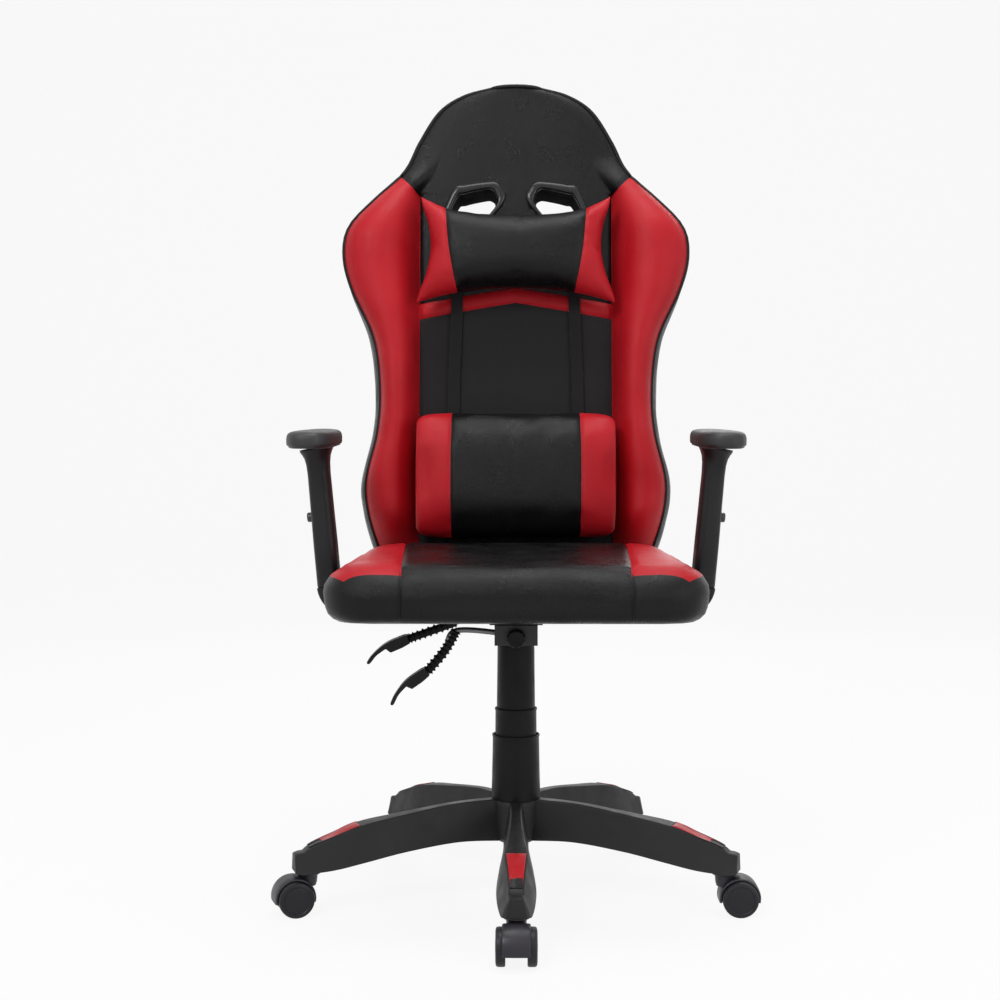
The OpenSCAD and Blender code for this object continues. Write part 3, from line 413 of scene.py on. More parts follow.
def tip_section(r, low_w, top_w, z0, z1, turn=2.6):
    """The same outside, closed below, for the leg's solid end."""
    ring = rounded_section(r, low_w, top_w, z0, z1, 4, turn)
    inner = [(r, s * low_w * k, z0) for s, k in ((1, 0.75), (1, 0.3), (-1, 0.3), (-1, 0.75))]
    return ring[:-4] + inner


def leg_mesh(turn):
    """One leg's rings: a hollow beam from the hub, then a solid end that rounds off over its caster."""
    rings = []
    for t in np.linspace(0, 0.86, 26):
        rings.append(rounded_section(*section_args(t)))
    for t in np.linspace(0.865, 0.955, 6):
        rings.append(tip_section(*section_args(t)))
    for k in (0.3, 0.55, 0.75, 0.9, 1.0):
        r, z0, z1, low, top = leg_sizes(0.955)
        shrink = math.sqrt(1 - k * k * 0.55)
        mid = z0 + 0.4 * (z1 - z0)
        rings.append(tip_section(
            r + k * (LEG_TIP - r), low * shrink, top * (0.55 + 0.45 * shrink),
            mid + (z0 - mid) * (0.75 + 0.25 * shrink), mid + (z1 - mid) * (0.5 + 0.5 * shrink)))
    c, s = math.cos(turn), math.sin(turn)
    return [[(c * x - s * y, s * x + c * y, z) for x, y, z in ring] for ring in rings]


def section_args(t):
    r, z0, z1, low, top = leg_sizes(t)
    return r, low, top, z0, z1


def leg_ribs(turn):
    """Cross ribs on the underside, as thin slabs between the leg's walls."""
    points, faces = [], []
    c, s = math.cos(turn), math.sin(turn)
    for t in (0.13, 0.3, 0.45, 0.6, 0.73, 0.84):
        for t_k in (t - 0.004, t + 0.004):
            r, z0, z1, low, top = leg_sizes(t_k)
            ring = [(r, 3 - low, z0 + 1.5), (r, low - 3, z0 + 1.5), (r, top - 3, z1 - 4), (r, 3 - top, z1 - 4)]
            points += [(c * x - s * y, s * x + c * y, z) for x, y, z in ring]
        faces += [tuple(len(points) - 8 + i for i in f) for f in ring_faces(2, 4)]
    return points, faces


def make_base():
    turns = [math.radians(-90 + 72 * i) for i in range(5)]
    points, faces = [], []
    for turn in turns:
        rings = leg_mesh(turn)
        start = len(points)
        points += flat_list(rings)
        faces += [tuple(start + i for i in f) for f in ring_faces(len(rings), len(rings[0]))]
        rib_points, rib_faces = leg_ribs(turn)
        faces += [tuple(len(points) + i for i in f) for f in rib_faces]
        points += rib_points
    legs = build("base_legs", points, faces, "base", [BASE_PLASTIC], "base_star", "base_plastic")
    legs.data.set_sharp_from_angle(angle=math.radians(40))
    lathe("base_hub", [
        (25, HUB_BOTTOM), (HUB_R - 2, HUB_BOTTOM), (HUB_R, HUB_BOTTOM + 2), (HUB_R + 1, HUB_BOTTOM + 20),
        (HUB_R + 1.5, HUB_TOP - 8), (HUB_R, HUB_TOP - 3), (HUB_R - 2.5, HUB_TOP), (25, HUB_TOP), (25, HUB_TOP - 30),
    ], "base", BASE_PLASTIC, closed=True, slot="base_plastic")
    for i, turn in enumerate(turns):
        make_insert(i, turn)


def make_insert(i, turn):
    """Coloured plate let into the leg's top, narrower towards the tip, with a raised lip round it."""
    c, s = math.cos(turn), math.sin(turn)
    spots = [(t, 13.5 - 5.5 * (t - 0.69) / 0.235) for t in np.linspace(0.69, 0.925, 13)]
    edge = [(leg_sizes(t)[0], side * w, leg_sizes(t)[2])
            for side, row in ((-1, spots), (1, spots[::-1])) for t, w in row]
    middle = np.mean(edge, axis=0)

    def ring(grow, lift):
        out = []
        for x, y, z in edge:
            length = math.hypot(x - middle[0], y)
            x2, y2 = x + grow * (x - middle[0]) / length, y + grow * y / length
            out.append((c * x2 - s * y2, s * x2 + c * y2, z + lift))
        return out

    plate = skin(f"leg_insert_{i + 1}", [ring(-0.2, -1.5), ring(-0.2, 0.3), ring(-0.8, 0.8), ring(-2.2, 0.9)],
                 "base", INSERT_RED, node="base_inserts" if i == 0 else (), slot="insert_red")
    plate.data.set_sharp_from_angle(angle=math.radians(50))
    skin(f"insert_lip_{i + 1}", [ring(0.0, -0.5), ring(0.0, 0.4), ring(0.8, 0.9), ring(1.6, 0.6), ring(2.1, -0.5)],
         "base", BASE_PLASTIC, slot="base_plastic")


def make_casters():
    hub_cap = [
        (3.1, 0), (23.4, 0), (24.6, 0.7), (25, 2), (25, 9.2), (24.2, 11.3), (22.4, 12.3), (19.5, 12.7),
        (18.9, 12.2), (18.3, 11.7), (17.4, 12.0), (12, 12.7), (6, 13), (0.3, 13.1),
    ]
    for i, heading in enumerate(CASTER_HEADINGS):
        stem = math.radians(-90 + 72 * i)
        at = Matrix.Translation((STEM_RADIUS * math.cos(stem), STEM_RADIUS * math.sin(stem), 0))
        turn = at @ Matrix.Rotation(math.radians(heading), 4, "Z")
        axle = turn @ Matrix.Translation((20.5, 0, 25)) @ Matrix.Rotation(math.pi / 2, 4, "X")
        k = i + 1
        for side, name in ((1, "a"), (-1, "b")):
            place = axle @ (Matrix.Identity(4) if side > 0 else Matrix.Rotation(math.pi, 4, "X"))
            lathe(f"caster_wheel_{name}_{k}", hub_cap, f"wheel_{name}_{k}", WHEEL_PLASTIC,
                  place @ Matrix.Translation((0, 0, 14)), 56, closed=True, node=f"wheel_{name}_{k}",
                  slot="wheel_plastic")
        make_hood(k, turn, axle)


def make_hood(k, turn, axle):
    """Hood over the wheels: its section turned round the axle over a bit more than half a circle, with a stem boss."""
    section = [
        (4, -13.5), (25.6, -13.5), (25.7, -18.2), (26.6, -18.5), (28.2, -17.6), (28.9, -15), (29.1, -6),
    ]
    section += [(29.2, 0)] + [(r, -y) for r, y in section[::-1]]
    rings = []
    for a in np.linspace(math.radians(-11), math.radians(191), 44):
        rings.append([tuple(axle @ Vector((r * math.cos(a), r * math.sin(a), y))) for r, y in section])
    hood = skin(f"caster_cover_{k}", rings, f"caster_{k}", CASTER_PLASTIC, node=f"caster_hood_{k}",
                slot="caster_plastic")
    hood.data.set_sharp_from_angle(angle=math.radians(45))
    lathe(f"caster_boss_{k}", [
        (5.6, 40), (11, 40), (12.6, 45), (13.2, 52), (14, 55.5), (17.2, 56.6), (18, 57.4), (18, 59.3),
        (17.4, 59.9), (5.6, 59.9),
    ], f"caster_{k}", CASTER_PLASTIC, turn, 48, closed=True, slot="caster_plastic")


# ---------- gas lift and mechanism ----------

def stage_profile(r, h, flare, wall=1.2, lip=1.0, steps=10):
    """A tapering cover stage with a flared rim at its upper end."""
    side = [(r - flare * (k / steps) ** 0.8, (h - 4) * k / steps) for k in range(steps + 1)]
    rim = [(r - flare + lip * 0.7, h - 2.6), (r - flare + lip, h - 1.4), (r - flare + lip * 0.8, h - 0.3),
           (r - flare, h)]
    inside = [(r - flare - wall, h - 0.4), (r - wall, 0.3)]
    return [(r - 0.4, 0)] + side[1:] + rim + inside


def make_column():
    for node, name, r, h, flare, body in (
            ("cover_lower", "column_cover_low", 35.3, 92, 2.0, "base"),
            ("cover_middle", "column_cover_mid", 30.3, 90, 0.8, "cover_mid")):
        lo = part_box(node)[0]
        profile = [(a, b + 1000 * lo.z) for a, b in stage_profile(r, h, flare)]
        lathe(name, profile, body, COVER_PLASTIC, segments=80, closed=True, node=node, slot="cover_plastic")
    low = 1000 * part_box("cover_upper")[0].z
    lathe("column_cover_top", [
        (27.2, low), (27.6, low + 1.5), (26.9, low + 60), (26.6, low + 98), (25.9, low + 104), (24.6, low + 108.6),
        (23.4, low + 110), (14.4, low + 110), (14.4, low + 108), (25.2, low + 102), (26.4, low + 0.5),
    ], "seat", COVER_PLASTIC, segments=80, closed=True, node="cover_upper", slot="cover_plastic")
    lathe("lift_tube", [(5.2, 80), (24.2, 80), (25, 81), (25, 261), (24.4, 262), (23.1, 262), (23, 86), (5.2, 84.2)],
          "base", TUBE_PAINT, closed=True, node="gas_tube", slot="tube_paint")
    lathe("lift_cylinder", [(5.2, 200), (13.2, 200), (14, 201.2), (14, 400.8), (13.2, 402), (4, 402)],
          "seat", CHROME, node="gas_cylinder", slot="cylinder_chrome")


def make_knob():
    """Fluted tension knob with a rounded face."""
    y, z, flutes = -85, 385, 12
    rings = []
    for r, depth, flute in ((9, 0.4, 0), (12.6, 0.4, 0.5), (13, 1.6, 1), (13, 12.5, 1), (12.4, 15, 0.8),
                            (10.6, 16.2, 0.2), (8, 15.6, 0), (3, 15.2, 0)):
        ring = []
        for a in np.linspace(0, 2 * math.pi, 96, endpoint=False):
            out = r - flute * 0.9 * (0.5 + 0.5 * math.cos(flutes * a)) ** 2
            ring.append((out * math.cos(a), y - depth, z + out * math.sin(a)))
        rings.append(ring)
    skin("tension_grip", rings, "knob", COVER_PLASTIC, node="tension_knob", slot="knob_plastic")


def ribbed(name, path, base_r, rib, count, body, node):
    """A ribbed rubber sleeve along a smooth path."""
    pts = catmull(path, 40)
    share = np.linspace(0, 1, len(pts))
    radii = [base_r + rib * max(0.0, math.sin(2 * math.pi * (count * s - 0.25))) ** 0.6 for s in share]
    skin(name, tube_rings(pts, radii, 16, up=(0, 1, 0)), body, SLEEVE_RUBBER, node=node, slot="sleeve_rubber")


PADDLE = [(0, 6), (-15, 7.2), (-29, 6.4), (-40, 4), (-49, 0.5), (-59, -4.2), (-66, -8.8), (-68, -11.5), (-66.2, -13.6),
          (-63, -13.1), (-57, -9.3), (-50, -5.5), (-36.5, -1.8), (-34.6, -3.2), (-31, -8.2), (-27, -8.7), (0, -5.8)]


def make_lever(name, y, z, route, sleeve_from, tilt, ribs):
    """Steel rod, ribbed sleeve and flat paddle of one lever. route is X and Z from the lever's hole."""
    path = [(x, y, z + dz) for x, dz in route]
    rod = catmull(path, 14)
    skin(f"{name}_bar", tube_rings(rod, 4, 14, up=(0, 1, 0)), name, BOLT_STEEL, node=f"{name}_rod",
         slot="bolt_steel")
    ribbed(f"{name}_grip", path[sleeve_from:], 5.7, 2.4, ribs, name, f"{name}_sleeve")
    place = (Matrix.Translation(path[-1]) @ Matrix.Rotation(math.radians(tilt), 4, "Y")
             @ Matrix.Rotation(math.pi / 2, 4, "X"))
    extrude(f"{name}_handle", smooth_outline(PADDLE, 2), place, 12, name, LEVER_PLASTIC, 1.2,
            node=f"{name}_paddle", slot="paddle_plastic")


def smooth_outline(points, per_span):
    """A closed outline with its corners eased."""
    loop = [points[-1], *points, points[0], points[1]]
    dense = catmull(loop, per_span)
    return [tuple(p) for p in dense[per_span:-2 * per_span]]


# ---------- arms ----------

def squircle(half_a, half_b, power, count=48):
    out = []
    for a in np.linspace(0, 2 * math.pi, count, endpoint=False):
        c, s = math.cos(a), math.sin(a)
        out.append((math.copysign(abs(c) ** (2 / power), c) * half_a,
                    math.copysign(abs(s) ** (2 / power), s) * half_b))
    return out


def arm_frame(side):
    """The leaning frame of one arm, from the bend up."""
    return Matrix.Translation((side * ARM_X, 0, ARM_BEND_Z)) @ Matrix.Rotation(side * ARM_LEAN, 4, "Y")


def make_arm(side, name):
    """Bracket, post, button and pad of one arm. side is 1 for +X."""
    frame_at = arm_frame(side)
    # Post: rounded section that flares into a neck under the pad
    rings = []
    length = (250 - 24 - 27) / math.cos(ARM_LEAN)
    for along, half_t, half_w, power in (
            (0.3, 14.6, 27.5, 4.5), (1.6, 16, 29, 4.5), (60, 16, 29, 4.5), (120, 15.4, 28.4, 4.5),
            (160, 15.2, 28.6, 4.2), (175, 15.8, 30.5, 4), (185, 17.6, 34.5, 3.6), (191, 20.2, 39.5, 3.4),
            (195, 22.4, 43.6, 3.4), (length - 1, 23, 45, 3.6)):
        ease = smoothstep(along, 160, length)
        rings.append([tuple(frame_at @ Vector((x, y, along - ease * math.sin(ARM_LEAN) * side * x)))
                      for x, y in squircle(half_t, half_w, power)])
    skin(f"arm_upright_{name}", rings, f"arm_{name}", ARM_PLASTIC, node=f"arm_post_{name}", slot="arm_plastic")
    # Raised seam strip down the post's inner front edge
    strip = [tuple(frame_at @ Vector((-side * 8.5, -29.2 + 0.8 * smoothstep(z, 120, 160), z)))
             for z in np.linspace(6, 172, 20)]
    skin(f"arm_seam_{name}", tube_rings(strip, 0.9, 8), f"arm_{name}", ARM_PLASTIC, slot="arm_plastic")
    make_bracket(side, name)
    # Button
    press = frame_at @ Matrix.Translation((0, 0, 100)) @ Matrix.Rotation(side * math.pi / 2, 4, "Y")
    lathe(f"arm_release_{name}", [(7, 10.8), (7, 20.5), (6.6, 21.9), (5.6, 22.7), (4, 22.3), (1, 22.1)],
          f"button_{name}", BUTTON_PLASTIC, press, 36, node=f"arm_button_{name}", slot="button_plastic")
    make_pad(side, name)


def make_bracket(side, name):
    """Bent arm from under the board up to the post: level foot, a rounded bend and the bar the post slides on."""
    out_x, in_x = ARM_X + 16, ARM_X - 16
    board_z = ARM_BEND_Z - 27
    foot_z, drop = board_z - 8, board_z - 14
    centre_x, centre_z = out_x - 45 * math.cos(ARM_LEAN), ARM_BEND_Z + 45 * math.sin(ARM_LEAN)
    arc = [(centre_x + 45 * math.cos(a), centre_z + (centre_z - drop) * math.sin(a))
           for a in np.radians(np.arange(-90, -9, 8.0))]
    outline = [(120, board_z - 0.2), (120, foot_z), (centre_x - 25, foot_z), *arc, (out_x, ARM_BEND_Z),
               (in_x, ARM_BEND_Z), (in_x - 1, ARM_BEND_Z - 9), (in_x - 5, ARM_BEND_Z - 18),
               (in_x - 14, board_z - 0.2)]
    place = Matrix.Scale(side, 4, (1, 0, 0)) @ Matrix.Rotation(math.pi / 2, 4, "X")
    extrude(f"arm_bend_{name}", outline, place, 27, "seat", ARM_PLASTIC, 4.0, node=f"arm_bracket_{name}",
            slot="arm_plastic")
    rings = [[tuple(arm_frame(side) @ Vector((x, y, z))) for x, y in squircle(6 - d, 22 - d, 8, 32)]
             for z, d in ((-6, 0), (118, 0), (119.5, 0.6), (120, 1.6))]
    skin(f"arm_slide_{name}", rings, "seat", ARM_PLASTIC, slot="arm_plastic")


def make_pad(side, name):
    """Soft-touch pad: rounded at both ends, gently crowned, a little narrower to the rear, with a base rim below."""
    lo, hi = (1000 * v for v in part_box(f"arm_pad_{name}"))
    cx, z0 = (lo[0] + hi[0]) / 2, lo[2]
    half_w, half_l = 34, 125
    levels = [(5.5, 0.3), (3.2, 1.2), (2.4, 3.2), (0.6, 4.0), (0, 6.5), (0, 13.5), (0.8, 17.5), (2.6, 20.3),
              (5.6, 22.2), (10, 23.2), (17, 23.8), (25, 24)]
    rings = []
    for inset, z in levels:
        ring = []
        for x, y in squircle(half_w, half_l, 3.3, 72):
            shrink_x, shrink_y = 1 - inset / half_w, 1 - inset / half_l
            narrow = 1 - 0.10 * smoothstep(y, -40, half_l)
            ring.append((cx + x * shrink_x * narrow - side * 3.0 * smoothstep(y, 0, half_l), y * shrink_y, z0 + z))
        rings.append(ring)
    skin(f"arm_rest_{name}", rings, f"arm_{name}", PAD_PLASTIC, node=f"arm_pad_{name}", slot="pad_plastic")


# ---------- soft goods ----------

BACK_FRAME = Matrix.Translation((0, BACK_Y, BACK_Z)) @ Matrix.Rotation(-BACK_TILT, 4, "X")


def on_back(x, v, u):
    """Point of the tilted back: across, through the thickness (rear is positive) and up."""
    return tuple(BACK_FRAME @ Vector((x, v, u)))


OUTLINE = catmull([(w * BACK_HALF_W, h * BACK_H) for w, h in BACK_CURVE], 16)
OUTLINE_U = [p[1] for p in OUTLINE]
OUTLINE_W = [p[0] for p in OUTLINE]


def half_width(u):
    return float(np.interp(u, OUTLINE_U, OUTLINE_W))


def panel_half(u):
    return min(PANEL_HALF, 0.72 * half_width(u))


def wing_share(u):
    """How far the side wings stand forward at a height, from 0 to 1."""
    return smoothstep(u, -10, 75) * (1 - smoothstep(u, 500, 640))


def wing_inset(u):
    """How far inside the outline the front cover's edge lies: the side boxing shows beside the low wings."""
    return EDGE_INSET + 8.0 * (1 - smoothstep(u, 300, 460))


wing_value = curve([(0, 2), (0.06, -5), (0.16, -24), (0.32, -41), (0.52, -49), (0.72, -47), (0.88, -38),
                    (0.96, -28), (1, -19)])
head_curve = curve([(0, -13), (0.4, -12), (0.7, -8), (0.9, -1), (1, 7)])


def head_value(share):
    """Front surface of the head section at a share of the half-width."""
    return 0.55 * head_curve(min(share, 1.0)) + 2


def spread(count):
    """Shares from 0 to 1, closer together near both ends."""
    return [0.5 - 0.5 * math.cos(math.pi * k / count) for k in range(count + 1)]


def back_rows():
    """Row heights, dense at every cross seam and round the top, and the ends of the coloured bands."""
    low = [OUTLINE_U[0] + (CHEVRON[0] - OUTLINE_U[0]) * s for s in spread(56)]
    band = [CHEVRON[0] + (CHEVRON[1] - CHEVRON[0]) * s for s in spread(8)][1:]
    middle = [CHEVRON[1] + (HEAD_SEAM - CHEVRON[1]) * s for s in spread(28)][1:]
    arc = [p for p in OUTLINE if p[1] > HEAD_SEAM]
    length = np.concatenate([[0], np.cumsum([np.hypot(*(b - a)) for a, b in zip(arc[:-1], arc[1:])])])
    top = [float(np.interp(s * length[-1], length, [p[1] for p in arc])) for s in np.linspace(0, 1, 42)]
    return low + band + middle + top


def cover_columns(wing_steps, panel_steps):
    """(side, share) of each column of a cover, from the left edge to the right one; side 0 is the centre panel."""
    wing = spread(wing_steps)
    panel = [2 * s - 1 for s in spread(panel_steps)]
    return [(-1, t) for t in reversed(wing)] + [(0, s) for s in panel[1:-1]] + [(1, t) for t in wing]


def lifted(row, side, t):
    """Height of a column on a row, with the slanted head seam and the peaked chevron."""
    if side:
        near = math.exp(-((row - HEAD_SEAM) / 55) ** 2)
        return row + HEAD_SLANT * t * near
    near = smoothstep(row, CHEVRON[0] - 90, CHEVRON[0]) * (1 - smoothstep(row, CHEVRON[1], CHEVRON[1] + 110))
    return row + CHEVRON_RISE * (1 - abs(t)) * near


def pucker(distance, along, seed):
    """Small tucks beside a seam."""
    return 0.8 * math.exp(-abs(distance) / 14) * noise.noise(Vector((along / 8, seed, 0)))


def seam_dip(distance, depth=3.0, width=3.2):
    return depth * math.exp(-(distance / width) ** 2)


def back_front(row, side, t):
    """Point of the front cover for one row and column."""
    u = lifted(row, side, t)
    wide, panel = half_width(u), panel_half(u)
    if side:
        x = side * (panel + t * (wide - wing_inset(u) - panel))
        share = wing_share(u)
        v = share * wing_value(t) + (1 - share) * head_value(abs(x) / wide)
        gap = t * (wide - panel)
        if row <= HEAD_SEAM + 0.01:
            v += seam_dip(gap, 4.0) + pucker(gap, u, 3 * side)
        v += seam_dip((row - HEAD_SEAM), 3.0) + pucker(row - HEAD_SEAM, x, 5)
        v += 1.3 * share * rumple((x, u, 0), 55, side)
        if t > 0.4 and row < HEAD_SEAM:
            v += 0.9 * share * math.exp(-(1 - t) * (wide - panel) / 16) * noise.noise(Vector((u / 10, side, 7)))
    else:
        x = t * panel
        gap = (1 - abs(t)) * panel
        head = smoothstep(row, CHEVRON[1] + 20, HEAD_SEAM + 40)
        flat = 2 - 7 * (1 - t ** 4)
        v = (1 - head) * flat + head * head_value(abs(x) / wide)
        if row <= HEAD_SEAM + 0.01:
            v += seam_dip(gap, 4.0) + pucker(gap, u, 9)
        for seam in CHEVRON:
            v += seam_dip(row - seam, 2.4, 2.4) + 0.5 * pucker(row - seam, x, seam)
        if CHEVRON[0] < row < CHEVRON[1]:
            v -= 2.0 * math.sin(math.pi * (row - CHEVRON[0]) / (CHEVRON[1] - CHEVRON[0]))
        v += 1.0 * rumple((x, u, 0), 70, 2)
    return x, v, u


def back_ring(row, columns):
    """Closed ring round the back at one row: front cover, side boxing, rear cover, other side."""
    front = [back_front(row, side, t) for side, t in columns]

    def side_points(x, v, u, sign, order):
        out = []
        for k in order:
            q = k / (BOXING + 1)
            bulge = math.sin(math.pi * q)
            swell = 3.0 * bulge + 0.95 * (wing_inset(u) - EDGE_INSET) * bulge ** 0.5
            out.append((x + sign * swell + 0.6 * rumple((u, q * 60, sign * 50), 30), v + q * (REAR_EDGE - v), u))
        return out
    right = side_points(*front[-1], 1, range(1, BOXING + 1))
    left = side_points(*front[0], -1, range(BOXING, 0, -1))
    rear = []
    for x, v, u in reversed(front):
        wide = half_width(u)
        share = min(abs(x) / wide, 1)
        rear.append((x, 70.5 - 8 * share ** 5 + 0.8 * rumple((x, u, 90), 80), u))
    return front + right + rear + left


def arch(x, ring):
    """Rise of the piping over the flat end of the outline."""
    half = max(abs(p[0]) for p in ring)
    return 2.5 * max(0.0, 1 - (x / half) ** 2)


def make_back():
    columns, rows = cover_columns(14, 30), back_rows()
    rings = [back_ring(r, columns) for r in rows]

    def closing(ring, rise, shares):
        """Rings that draw together to the middle of the thickness and close an end of the back."""
        return [[(x, 30 + (v - 30) * k, u + rise * math.sqrt(1 - k * k)) for x, v, u in ring] for k in shares]
    bottom = closing(rings[0], -6, (0, 0.35, 0.65, 0.85, 0.96))
    top = closing(rings[-1], 4.5, (0.96, 0.85, 0.65, 0.35, 0))
    every = bottom + rings + top
    n = len(every[0])
    faces = ring_faces(len(every), n, cap=False)
    front_n, first = len(columns), len(bottom)
    mats = []
    for i in range(len(every) - 1):
        row = rows[i - first] if first <= i < first + len(rows) - 1 else None
        for j in range(n):
            mats.append(back_material(row, columns, j, front_n))
    points = [on_back(*p) for p in flat_list(every)]
    back = build("back_cover", points, faces, "back", [BLACK_LEATHER, RED_LEATHER, PANEL_FABRIC], "back_cushion",
                 "leatherette_black", face_mats=mats)
    cut_slots(back)
    # Piping along the front and rear edges
    rear_start = front_n + BOXING
    for name, right_to_left in (("back_piping_front", range(front_n - 1, -1, -1)),
                                ("back_piping_rear", range(rear_start, rear_start + front_n))):
        across = right_to_left[4:-4:4]
        loop = [r[right_to_left[0]] for r in rings]
        loop += [(x, v, u + arch(x, rings[-1])) for x, v, u in (rings[-1][j] for j in across)]
        loop += [r[right_to_left[-1]] for r in reversed(rings)]
        loop += [(x, v, u - 3) for x, v, u in (rings[0][j] for j in right_to_left[::-1][4:-4:4])]
        path = [on_back(*p) for p in loop]
        piping = skin(name, tube_rings(path, 3.3, 10, closed=True, up=(0, 1, 0)), "back", BLACK_LEATHER,
                      closed=True, slot="leatherette_black")
        piping.parent = back
        piping.matrix_parent_inverse = back.matrix_world.inverted()


def back_material(row, columns, j, front_n):
    """0 is black cover, 1 coloured cover and 2 the woven panel."""
    if row is None or j >= front_n - 1:
        return 0
    side_a, side_b = columns[j][0], columns[j + 1][0]
    if side_a and side_b:
        return 1 if 4 < row < HEAD_SEAM - 0.01 else 0
    if row < CHEVRON[0] - 0.01:
        return 2
    return 1 if row < CHEVRON[1] - 0.01 else 0


def grown(points, d):
    centre = [(min(p[k] for p in points) + max(p[k] for p in points)) / 2 for k in (0, 1)]
    out = []
    for p in points:
        away = np.array(p) - centre
        out.append(tuple(np.array(p) + d * away / np.hypot(*away)))
    return out


def slot_outline(d):
    return smooth_outline(grown(SLOT, d), 4)


def cut_slots(back):
    """The two strap openings go right through the back."""
    for side in (-1, 1):
        rings = [[on_back(side * x, v, u) for x, u in slot_outline(2.5)] for v in (-120, 160)]
        points, faces = flat_list(rings), ring_faces(2, len(rings[0]))
        mesh = bpy.data.meshes.new("slot_cutter")
        mesh.from_pydata([[MM * c for c in p] for p in points], [], faces)
        bm = bmesh.new()
        bm.from_mesh(mesh)
        bmesh.ops.recalc_face_normals(bm, faces=bm.faces)
        bm.to_mesh(mesh)
        bm.free()
        cutter = bpy.data.objects.new("slot_cutter", mesh)
        bpy.context.scene.collection.objects.link(cutter)
        mod = back.modifiers.new("slot", "BOOLEAN")
        mod.object = cutter
        mod.solver = "EXACT"
        mod.operation = "DIFFERENCE"
        bpy.context.view_layer.update()
        bake_modifiers(back)
        bpy.data.objects.remove(cutter)


def make_trims():
    """Moulded bezels round the strap openings, front and rear, joined by a liner."""
    for side, name in ((-1, "left"), (1, "right")):
        front = [(0, 12), (0, -5), (0.8, -7.6), (2.6, -9), (6, -9.4), (11, -8.8), (13.6, -7), (14.4, -3), (13, 6),
                 (2.5, 8), (2.5, 12)]
        rear = [(0, 60), (0, 72), (1.2, 75), (4, 76), (11, 75.2), (14, 73), (14, 66), (2.5, 64), (2.5, 60)]
        liner = [(-0.5, -3), (-0.5, 70), (2.2, 70), (2.2, -3)]
        for part, shape, material in (("bezel", front, TRIM_PLASTIC), ("rear", rear, TRIM_PLASTIC),
                                      ("liner", liner, LINER_FELT)):
            rings = [[on_back(side * x, v, u) for x, u in slot_outline(d)] for d, v in shape]
            trim = skin(f"slot_{part}_{name}", rings, "back", material, closed=True, slot="trim_plastic",
                        node="slot_trims" if (side, part) == (-1, "bezel") else ())
            trim.data.set_sharp_from_angle(angle=math.radians(50))


def inflate(obj, voxel, pressure, cap, held, frames=18):
    """Cloth under air pressure fills a cover. A coarse copy is simulated, and its moves are carried to the cover.

    No point moves further than cap, and held(point in millimetres) is the share of the move that a point makes.
    """
    copy = obj.copy()
    copy.data = obj.data.copy()
    copy.name = "cloth_copy"
    bpy.context.scene.collection.objects.link(copy)
    mesh_mod = copy.modifiers.new("voxels", "REMESH")
    mesh_mod.mode = "VOXEL"
    mesh_mod.voxel_size = voxel * MM
    bpy.context.view_layer.update()
    bake_modifiers(copy)
    before = vertex_array(copy)
    mod = copy.modifiers.new("air", "CLOTH")
    s = mod.settings
    s.quality = 5
    s.mass = 0.3
    s.tension_stiffness = s.compression_stiffness = 15
    s.shear_stiffness = 6
    s.bending_stiffness = 0.05
    s.tension_damping = s.compression_damping = 5
    s.air_damping = 2
    s.use_pressure = True
    s.uniform_pressure_force = pressure
    s.effector_weights.gravity = 0
    scene = bpy.context.scene
    for f in range(1, frames + 1):
        scene.frame_set(f)
    bake_modifiers(copy)
    scene.frame_set(1)
    move = vertex_array(copy) - before
    length = np.linalg.norm(move, axis=1, keepdims=True)
    limit = cap * MM
    move *= limit * np.tanh(length / limit) / np.maximum(length, 1e-9)
    tree = kdtree.KDTree(len(before))
    for i, p in enumerate(before):
        tree.insert(p, i)
    tree.balance()
    bpy.data.objects.remove(copy)
    points = vertex_array(obj)
    out = points.copy()
    for i, p in enumerate(points):
        near = tree.find_n(p, 6)
        weights = [1 / (d + 0.4 * voxel * MM) ** 2 for _, _, d in near]
        step = sum(w * move[j] for w, (_, j, _) in zip(weights, near)) / sum(weights)
        out[i] += step * held(p / MM)
    obj.data.vertices.foreach_set("co", out.ravel())
    obj.data.update()


def vertex_array(obj):
    flat = np.empty(len(obj.data.vertices) * 3)
    obj.data.vertices.foreach_get("co", flat)
    return flat.reshape(-1, 3)


def off_the_back(point):
    """The rear of a pillow rests on the back, so it moves less."""
    v = (BACK_FRAME.inverted() @ Vector(point)).y
    return 1 - 0.85 * smoothstep(v, -40, -14)


def off_the_board(point):
    """The seat's underside is stapled flat to the board."""
    return smoothstep(point[2], SEAT_LO[2] + 4, SEAT_LO[2] + 28)


# Head pillow: its upper and lower edge against the share across, and its side and seam against the share up
pillow_top = curve([(0, 530), (0.4, 532.5), (0.7, 540), (0.9, 550), (1, 557)])
pillow_low = curve([(0, 410), (0.4, 407), (0.7, 400), (0.9, 393.5), (1, 389)])
pillow_side = curve([(-1, 153), (-0.8, 150), (-0.45, 142), (0, 136), (0.45, 138.5), (0.8, 145), (1, 147)])
pillow_seam = curve([(-1, 90), (0, 102), (1, 109)])
SEAM_SHARE = 0.7                 # where the pillows' seams lie between the middle and the ends


def pillow_x(a, seam, side):
    """Place across of a share from -1 to 1, with the seam at its own share."""
    share = abs(a)
    if share <= SEAM_SHARE:
        x = seam * share / SEAM_SHARE
    else:
        x = seam + (side - seam) * (share - SEAM_SHARE) / (1 - SEAM_SHARE)
    return x if a >= 0 else -x


